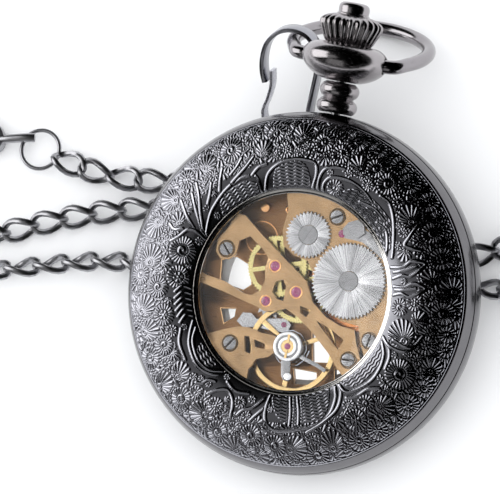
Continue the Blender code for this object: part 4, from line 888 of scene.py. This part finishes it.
def build_plates():
    tones = settings("movement")
    gilt = tuple(tones.gilt)
    top = brushed("bridge_gilt", gilt, turn=0.9, roughness=0.3)
    cross = brushed("barrel_bridge_gilt", shade(gilt, 0.92), turn=2.2, roughness=0.3)
    # Gilt lightened almost twofold for the rim bevels: painted highlight.
    bevel = satin("bevel_gilt_painted_highlight", shade(gilt, 1.9), 0.2)
    # The main plate, below the bridges, in gilt darkened about half as painted shade.
    low = brushed("plate_gilt_painted_shade", (0.19, 0.10, 0.045), 0.4, 0.3)
    plates = (("barrel_bridge", cross, 0.14, 0.25), ("train_bridge", top, 0.14, 0.35),
              ("balance_cock", top, 0.14, 0.3), ("main_plate", low, 0.12, 0.0))
    for node, metal, edge, corner in plates:
        piece = finish(fine_copy(node, edge, corner), node + "_fine", metal, "case",
                       replaces=(node,), sharp=35)
        piece.data.materials.append(bevel)
    steel = tuple(tones.steel)
    refinish(["pallet_bridge", "pallet_fork", "escape_wheel"], satin("pale_steel", shade(steel, 1.1), 0.25))
    head = brushed("screw_steel", shade(steel, 0.72), 0.5, 0.26, 0.1)
    # Near-black steel under the screw heads: painted shade in the slots.
    hollow = satin("screw_slot_painted_shade", (0.035, 0.03, 0.028), 0.45)
    # Dark rings round the screw heads: gilt darkened as painted shade in the gap round each screw.
    seat_painted_shade = satin("screw_seat_painted_shade", shade(gilt, 0.3), 0.35)
    for i, (at, radius, node) in enumerate(SCREWS):
        build_screw(at, radius, node, 0.5 + 0.9 * i, head, hollow)
        seat = [(radius + 0.02, BACK_N - 0.02), (radius + 0.3, BACK_N - 0.02),
                (radius + 0.22, BACK_N + 0.07), (radius + 0.08, BACK_N + 0.05)]
        finish(shifted(revolved(seat, 48), at), node + "_seat", seat_painted_shade, "case")


def build_screw(at, radius, node, turn, head, hollow):
    """A slotted screw: a disc, near black as painted shade in the slot, with two half heads on it, a slot's
    width apart.
    """
    low, floor, high = BACK_N + 0.02, BACK_N + 0.1, BACK_N + 0.26
    shank = [(0, 2.2), (0.4, 2.2), (0.4, low), (radius - 0.02, low), (radius - 0.02, floor), (0, floor)]
    finish(shifted(revolved(shank, 48, axial=True), at), node + "_shank", hollow, "case",
           replaces=(node,))
    half_slot = math.asin(0.12 / radius)
    for side, label in ((0, "_head_1"), (math.pi, "_head_2")):
        half = drawn(circle(radius, 32, start=half_slot, end=math.pi - half_slot), low, high)
        finish(shifted(chamfered(half, 0.04), at, turn + side), node + label, head, "case")


def build_jewels():
    ruby = ruby_stone()
    gold = satin("gold_setting", (0.60, 0.33, 0.15), 0.2)
    bearings = (("third", THIRD_AT, 0.62), ("fourth", FOURTH_AT, 0.66), ("escape", ESCAPE_AT, 0.6))
    for label, at, radius in bearings:
        stone = [(0, BACK_N - 0.35), (radius, BACK_N - 0.35), (radius, BACK_N + 0.02), (0.3, BACK_N + 0.1),
                 (0.12, BACK_N - 0.02), (0, BACK_N - 0.02)]
        finish(shifted(revolved(stone, 48, axial=True, soften=0.03), at), "ruby_" + label, ruby, "case",
               replaces=("jewel_" + label,))
        collar = [(radius + 0.01, BACK_N - 0.1), (radius + 0.2, BACK_N - 0.1),
                  (radius + 0.2, BACK_N + 0.05), (radius + 0.11, BACK_N + 0.1),
                  (radius + 0.01, BACK_N + 0.05)]
        finish(shifted(revolved(collar, 48), at), "collar_" + label, gold, "case")
    stud = [(0, -0.65), (0.62, -0.65), (0.62, 0.6), (0, 0.6)]
    finish(shifted(revolved(stud, 40, axial=True, soften=0.12), (-6.7, 9.8)), "gold_stud", gold, "case")
    ring = [(1.95, -0.65), (2.15, -0.65), (2.15, -0.48), (1.95, -0.48)]
    finish(shifted(revolved(ring, 64, soften=0.03), (-6.7, 5.9)), "setting_ring", gold, "case")
    post = [(0, -0.65), (0.55, -0.65), (0.55, 0.55), (0.32, 0.62), (0.26, 0.4), (0, 0.4)]
    finish(shifted(revolved(post, 40, axial=True, soften=0.04), (-3.5, 10.1)), "hollow_stud", gold, "case")
    stone = [(0, 0.4), (0.36, 0.4), (0.36, 0.56), (0, 0.62)]
    finish(shifted(revolved(stone, 32, axial=True), (-1.5, -4.3)), "ruby_pallet", ruby, "case")
    stone = [(0, 2.6), (0.5, 2.6), (0.5, 2.78), (0, 2.84)]
    finish(shifted(revolved(stone, 32, axial=True, soften=0.05), (4.6, 8.4)), "ruby_click", ruby, "case")


def build_winding():
    steel = tuple(settings("movement").steel)
    rim_steel = satin("wheel_rim_steel", shade(steel, 1.2), 0.2)
    for node, body, at, hub in (("crown_wheel", "crown_wheel", CROWN_WHEEL_AT, "crown_wheel_screw"),
                                ("ratchet_wheel", "ratchet", BARREL_AT, "ratchet_screw")):
        spot = TURN @ (Vector((*at, 0)) * MM)
        bm = fine_copy(node, 0.05)
        piece = finish(bm, node + "_fine", sunburst(node + "_steel", shade(steel, 1.05), spot, 70, 0.27),
                       body, replaces=(node,), sharp=30)
        piece.data.materials.append(rim_steel)
        refinish([hub], brushed(hub + "_steel", shade(steel, 0.75), 1.1, 0.34, 0.1))
    outline = [(5.0, 7.9), (4.95, 9.1), (6.2, 9.9), (8.6, 9.0), (10.6, 7.2), (11.2, 5.6), (9.6, 6.6),
               (7.4, 7.8)]
    plate = drawn(outline, BACK_N - 0.05, BACK_N + 0.08)
    blade = brushed("click_steel", shade(steel, 0.8), 0.3, 0.28)
    finish(chamfered(plate, 0.03), "click_plate", blade, "case")
    refinish(["click"], blade)
    refinish(["barrel_arbor", "mainspring"], satin("spring_steel", shade(steel, 0.7), 0.3))


def build_train():
    tones = settings("movement")
    brass = satin("wheel_brass_satin", tuple(tones.brass), 0.26, grain=9.0)
    refinish(["second_wheel", "third_wheel", "fourth_wheel", "minute_wheel", "hour_wheel"], brass)
    refinish(["barrel", "barrel_drum"], satin("barrel_copper", (0.58, 0.24, 0.09), 0.22, grain=9.0))
    refinish(["second_pinion", "third_pinion", "fourth_pinion", "escape_pinion", "balance_staff",
              "cannon_pinion"], satin("pinion_steel", tuple(tones.steel), 0.18))


LEVER_N = BACK_N + 0.04  # underside of the regulator


def build_balance():
    gold = satin("balance_gilt", (0.62, 0.44, 0.21), 0.18)
    low, high = 0.66, 0.98
    rim_ring = [(5.02, low), (5.72, low), (5.72, high), (5.02, high)]
    finish(shifted(revolved(rim_ring, 128, soften=0.07), BALANCE_AT), "balance_rim", gold, "balance",
           replaces=("balance_wheel",))
    outline = [(0.3, -0.38), (2.0, -0.26), (5.15, -0.34), (5.15, 0.34), (2.0, 0.26), (0.3, 0.38)]
    for i in range(3):
        arm = chamfered(drawn(outline, low, high - 0.05), 0.05)
        finish(shifted(arm, BALANCE_AT, 0.5 + math.tau * i / 3), f"balance_arm_{i + 1}", gold, "balance")
    hub = [(0.1, 0.6), (0.75, 0.6), (0.75, 1.1), (0.1, 1.1)]
    finish(shifted(revolved(hub, 40, soften=0.08), BALANCE_AT), "balance_hub", gold, "balance")
    refinish(["hairspring"], satin("hairspring_steel", (0.36, 0.38, 0.42), 0.2))
    steel = tuple(settings("movement").steel)
    polished = satin("regulator_steel", shade(steel, 2.0), 0.14)
    build_regulator(satin("lever_steel", shade(steel, 0.75), 0.22), polished)
    build_shock_setting(gold, polished)


def build_regulator(dark, polished):
    """The lever round the balance's upper bearing, with the arm and the knob of the spring's stud."""
    base = LEVER_N
    lever = circle(1.95, 40, start=math.radians(-70), end=math.radians(255))
    lever += [(-0.5, -1.95), (-0.42, -2.6), (-0.15, -3.9), (0.2, -4.35), (0.9, -4.4), (1.2, -4.0),
              (0.95, -3.2), (0.75, -1.95)]
    bm = drawn(lever, base, base + 0.16, holes=[circle(1.2, 40)])
    finish(shifted(chamfered(bm, 0.04), BALANCE_AT), "regulator_lever", dark, "case",
           replaces=("regulator",))
    path = [Vector(p) for p in ((1.6, -0.9), (2.6, -1.2), (4.2, -1.7), (5.4, -2.2))]
    arm = drawn(ribbon(path, 0.5), base - 0.3, base - 0.1)
    finish(shifted(chamfered(arm, 0.04), BALANCE_AT), "stud_arm", dark, "case")
    knob = [(0, base), (0.55, base), (0.62, base + 0.2), (0.5, base + 0.42), (0.2, base + 0.5),
            (0, base + 0.5)]
    at = (BALANCE_AT[0] + 0.75, BALANCE_AT[1] - 3.8)
    finish(shifted(revolved(knob, 40, axial=True, soften=0.05), at), "stud_knob", polished, "case")


def build_shock_setting(gold, polished):
    """The round setting that springs the balance's upper stone."""
    base = LEVER_N
    ring = [(1.48, base + 0.17), (1.86, base + 0.17), (1.86, base + 0.34), (1.76, base + 0.42),
            (1.6, base + 0.42), (1.48, base + 0.34)]
    finish(shifted(revolved(ring, 64), BALANCE_AT), "shock_ring", polished, "case",
           replaces=("shock_setting",))
    well = [(0, base + 0.08), (1.5, base + 0.08), (1.5, base + 0.14), (0, base + 0.14)]
    finish(shifted(revolved(well, 48, axial=True), BALANCE_AT), "shock_well",
           satin("shock_black", (0.06, 0.06, 0.06), 0.3), "case")
    inner = [(0.86, base + 0.12), (1.2, base + 0.12), (1.2, base + 0.26), (1.1, base + 0.3),
             (0.86, base + 0.24)]
    finish(shifted(revolved(inner, 56), BALANCE_AT), "shock_inner", polished, "case")
    bush = [(0, base + 0.12), (0.84, base + 0.12), (0.84, base + 0.2), (0.5, base + 0.24), (0, base + 0.22)]
    finish(shifted(revolved(bush, 40, axial=True), BALANCE_AT), "shock_bush", gold, "case")
    for turn in (math.pi / 2, -math.pi / 2):
        tab = drawn([(0.5, -0.12), (1.55, -0.16), (1.55, 0.16), (0.5, 0.12)], base + 0.3, base + 0.38)
        finish(shifted(tab, BALANCE_AT, turn), "shock_spring", gold, "case")
    stone = [(0, base + 0.1), (0.46, base + 0.1), (0.4, base + 0.3), (0, base + 0.38)]
    finish(shifted(revolved(stone, 40, axial=True, soften=0.05), BALANCE_AT), "ruby_balance", ruby_stone(),
           "case")


# ---------------------------------------------------------------- dial and hands

INK_N = -2.97  # middle of the printed marks


def build_dial():
    """The chapter ring with its numbers and minute marks, and the hands, on the other side."""
    finish(revolved([(10.5, -2.95), (17.3, -2.95), (17.3, -2.65), (10.5, -2.65)], 160, soften=0.05),
           "chapter_ring", enamel_white(), "case", replaces=("dial",))
    ink = satin("black_ink", (0.012, 0.012, 0.015), 0.4, metallic=0.0)
    marks = bmesh.new()
    for i in range(60):
        long = 0.9 if i % 5 == 0 else 0.5
        tick = bmesh.ops.create_cube(marks, size=1)["verts"]
        place = Matrix.Rotation(math.tau * i / 60, 4, "Z") @ Matrix.Translation((16.7 - long / 2, 0, INK_N))
        bmesh.ops.transform(marks, verts=tick, matrix=place @ Matrix.Diagonal((long, 0.16, 0.06, 1)))
    finish(marks, "minute_marks", ink, "case", sharp=30)
    for hour in range(1, 13):
        build_numeral(hour, ink)
    build_hands()


def build_numeral(hour, ink):
    curve = bpy.data.curves.new("numeral", "FONT")
    curve.body = str(hour)
    curve.size = 3.4
    curve.extrude = 0.03
    curve.align_x = "CENTER"
    curve.align_y = "CENTER"
    bm = from_curve(curve)
    turn = math.pi / 2 + math.tau * hour / 12
    bm.transform(Matrix.Translation((13.4 * math.cos(turn), 13.4 * math.sin(turn), INK_N))
                 @ Matrix.Rotation(math.pi, 4, "Y"))
    finish(bm, f"numeral_{hour}", ink, "case", sharp=30)


def build_hands():
    """Pear-shaped hands, each a drawn plate with a hole for its arbor."""
    blue = satin("hand_lacquer", (0.02, 0.025, 0.05), 0.2, metallic=0.8)
    hands = (("hour", 9.6, 1.35, 0.85, (-3.5, -3.3), 1.0), ("minute", 14.0, 0.95, 0.36, (-4.1, -3.9), -0.9))
    for body, long, boss, hole, levels, turn in hands:
        pear = rounded([(0.3, boss), (0.2, long * 0.55), (0.26, long * 0.62), (0.85, long * 0.72),
                        (0.3, long * 0.84), (0.03, long)], 30)
        side = circle(boss, 30, start=math.radians(70), end=math.radians(-250))
        outline = [(p.x, p.y) for p in pear[::-1]] + side + [(-p.x, p.y) for p in pear[:-1]]
        bm = drawn(outline, *levels, holes=[circle(hole, 32)])
        finish(shifted(chamfered(bm, 0.05), (0, 0), turn), body + "_hand_fine", blue, body,
               replaces=(body + "_hand",))


# ---------------------------------------------------------------- stage

def build_stage():
    stage = settings("stage")
    bm = bmesh.new()
    bmesh.ops.create_grid(bm, x_segments=1, y_segments=1, size=1.2)
    mesh = bpy.data.meshes.new("table")
    bm.to_mesh(mesh)
    bm.free()
    mesh.materials.append(table_white())
    table = bpy.data.objects.new("table", mesh)
    bpy.context.collection.objects.link(table)
    world = bpy.data.worlds.new("soft_room")
    bpy.context.scene.world = world
    world.use_nodes = True
    world.node_tree.nodes["Background"].inputs["Color"].default_value = (0.97, 0.98, 1.0, 1)
    world.node_tree.nodes["Background"].inputs["Strength"].default_value = stage.fill
    world.cycles_visibility.glossy = False
    softbox("key", stage.key, (-0.86, 0.0, 0.51), 0.7, 0.66)
    softbox("overhead", stage.overhead, (-0.34, -0.16, 0.93), 0.8, 0.34)
    softbox("low", 0.35, (-0.2, -0.8, 0.55), 0.7, 0.5)
    glow = softbox("under_glow", 1.3, (0, 0, 1), 1, 0.022, diffuse=True)
    glow.matrix_world = PLACE @ Matrix.Translation((-1.5, -1.0, -6.25)) @ Matrix.Scale(1000, 4)
    glow.visible_camera = False
    add_camera()
    bpy.context.scene.view_settings.view_transform = "Standard"


def softbox(name, radiance, towards, distance, size, diffuse=False):
    """A square lamp of even brightness that faces the watch. Without diffuse, only reflections show it."""
    light = bpy.data.lights.new(name, "AREA")
    light.energy = math.pi * size ** 2 * radiance
    light.size = size
    made = bpy.data.objects.new(name, light)
    made.location = Vector(towards).normalized() * distance
    made.rotation_euler = (-Vector(towards)).to_track_quat("-Z", "Y").to_euler()
    made.visible_diffuse = diffuse
    bpy.context.collection.objects.link(made)
    return made


def add_camera():
    """Looks at the back from a little to the right, turned ten degrees about its own axis."""
    towards = Vector((0.2952, 0.0004, 0.9554))
    upward = (Vector((0, 1, 0)) - towards * towards.y).normalized()
    right = upward.cross(towards)
    roll = math.radians(10.31)
    up = math.cos(roll) * upward - math.sin(roll) * right
    side = math.cos(roll) * right + math.sin(roll) * upward
    aim = side * -6.80 + up * 5.98
    spin = TURN.to_3x3()
    place = Matrix((spin @ side, spin @ up, spin @ towards)).transposed().to_4x4()
    place.translation = CENTRE + spin @ (aim + towards * 1000) * MM
    camera = bpy.data.cameras.new("camera")
    camera.lens = 558.4
    camera.sensor_width = 36
    made = bpy.data.objects.new("camera", camera)
    made.matrix_world = place
    bpy.context.collection.objects.link(made)
    bpy.context.scene.camera = made


# ---------------------------------------------------------------- add-on

class Maker:
    """What the operators share: each runs its own build function."""

    bl_options = {"REGISTER", "UNDO"}

    def execute(self, context):
        self.build()
        return {"FINISHED"}


class WATCH_OT_make_stage(Maker, bpy.types.Operator):
    """Makes the table, the lights and the camera"""

    bl_idname = "watch.make_stage"
    bl_label = "Table, lights and camera"
    build = staticmethod(build_stage)


class WATCH_OT_make_chain(Maker, bpy.types.Operator):
    """Makes the chain of links with its split ring and end hook"""

    bl_idname = "watch.make_chain"
    bl_label = "Chain, ring and end hook"
    build = staticmethod(build_chain)


class WATCH_OT_make_clip(Maker, bpy.types.Operator):
    """Makes the spring hook that hangs on the bow"""

    bl_idname = "watch.make_clip"
    bl_label = "Spring hook"
    build = staticmethod(build_clip)


class WATCH_OT_make_engraved_back(Maker, bpy.types.Operator):
    """Makes the back ring with its shells, scrolls and wavy panels"""

    bl_idname = "watch.make_engraved_back"
    bl_label = "Engraved back ring"
    build = staticmethod(build_engraved_back)


class WATCH_OT_make_case(Maker, bpy.types.Operator):
    """Makes the case band, the bezel, the window's lip and the crystals"""

    bl_idname = "watch.make_case"
    bl_label = "Case and crystals"
    build = staticmethod(build_case)


class WATCH_OT_make_pendant(Maker, bpy.types.Operator):
    """Makes the beaded neck, the bulb, the crown and its stem"""

    bl_idname = "watch.make_pendant"
    bl_label = "Pendant and crown"
    build = staticmethod(build_pendant)


class WATCH_OT_make_bow(Maker, bpy.types.Operator):
    """Makes the bow"""

    bl_idname = "watch.make_bow"
    bl_label = "Bow"
    build = staticmethod(build_bow)


class WATCH_OT_make_plates(Maker, bpy.types.Operator):
    """Makes the plates, the bridges and their screws"""

    bl_idname = "watch.make_plates"
    bl_label = "Plates, bridges and screws"
    build = staticmethod(build_plates)


class WATCH_OT_make_jewels(Maker, bpy.types.Operator):
    """Makes the rubies with their settings and the studs"""

    bl_idname = "watch.make_jewels"
    bl_label = "Rubies and settings"
    build = staticmethod(build_jewels)


class WATCH_OT_make_winding(Maker, bpy.types.Operator):
    """Makes the winding wheels with the click and its plate"""

    bl_idname = "watch.make_winding"
    bl_label = "Crown wheel and ratchet wheel"
    build = staticmethod(build_winding)


class WATCH_OT_make_train(Maker, bpy.types.Operator):
    """Finishes the wheels and pinions of the train"""

    bl_idname = "watch.make_train"
    bl_label = "Train wheels and pinions"
    build = staticmethod(build_train)


class WATCH_OT_make_balance(Maker, bpy.types.Operator):
    """Makes the balance, the regulator and the shock setting"""

    bl_idname = "watch.make_balance"
    bl_label = "Balance and regulator"
    build = staticmethod(build_balance)


class WATCH_OT_make_dial(Maker, bpy.types.Operator):
    """Makes the dial with its numbers and marks, and the hands"""

    bl_idname = "watch.make_dial"
    bl_label = "Dial and hands"
    build = staticmethod(build_dial)


OPERATORS = (
    WATCH_OT_make_stage, WATCH_OT_make_chain, WATCH_OT_make_clip,
    WATCH_OT_make_engraved_back, WATCH_OT_make_case, WATCH_OT_make_pendant,
    WATCH_OT_make_bow, WATCH_OT_make_plates, WATCH_OT_make_jewels,
    WATCH_OT_make_winding, WATCH_OT_make_train, WATCH_OT_make_balance,
    WATCH_OT_make_dial,
)


class WATCH_PT_panel(bpy.types.Panel):
    """Lists the groups of pieces"""

    bl_label = "Pocket Watch"
    bl_idname = "WATCH_PT_panel"
    bl_space_type = "VIEW_3D"
    bl_region_type = "UI"
    bl_category = "Pocket Watch"

    def draw(self, context):
        for made in OPERATORS:
            self.layout.operator(made.bl_idname)
        for group in GROUPS:
            for key in group.__annotations__:
                self.layout.prop(getattr(context.scene, "watch_" + GROUPS[group]), key)


GROUPS = {CaseSizes: "case", MovementColours: "movement", ChainSizes: "chain", StageSettings: "stage"}


def register():
    for group, name in GROUPS.items():
        bpy.utils.register_class(group)
        setattr(bpy.types.Scene, "watch_" + name, bpy.props.PointerProperty(type=group))
    for made in (*OPERATORS, WATCH_PT_panel):
        bpy.utils.register_class(made)


def unregister():
    for made in (WATCH_PT_panel, *reversed(OPERATORS)):
        bpy.utils.unregister_class(made)
    for group, name in GROUPS.items():
        delattr(bpy.types.Scene, "watch_" + name)
        bpy.utils.unregister_class(group)


def main():
    register()
    for made in OPERATORS:
        getattr(bpy.ops.watch, made.bl_idname.split(".")[1])()


if __name__ == "__main__":
    main()
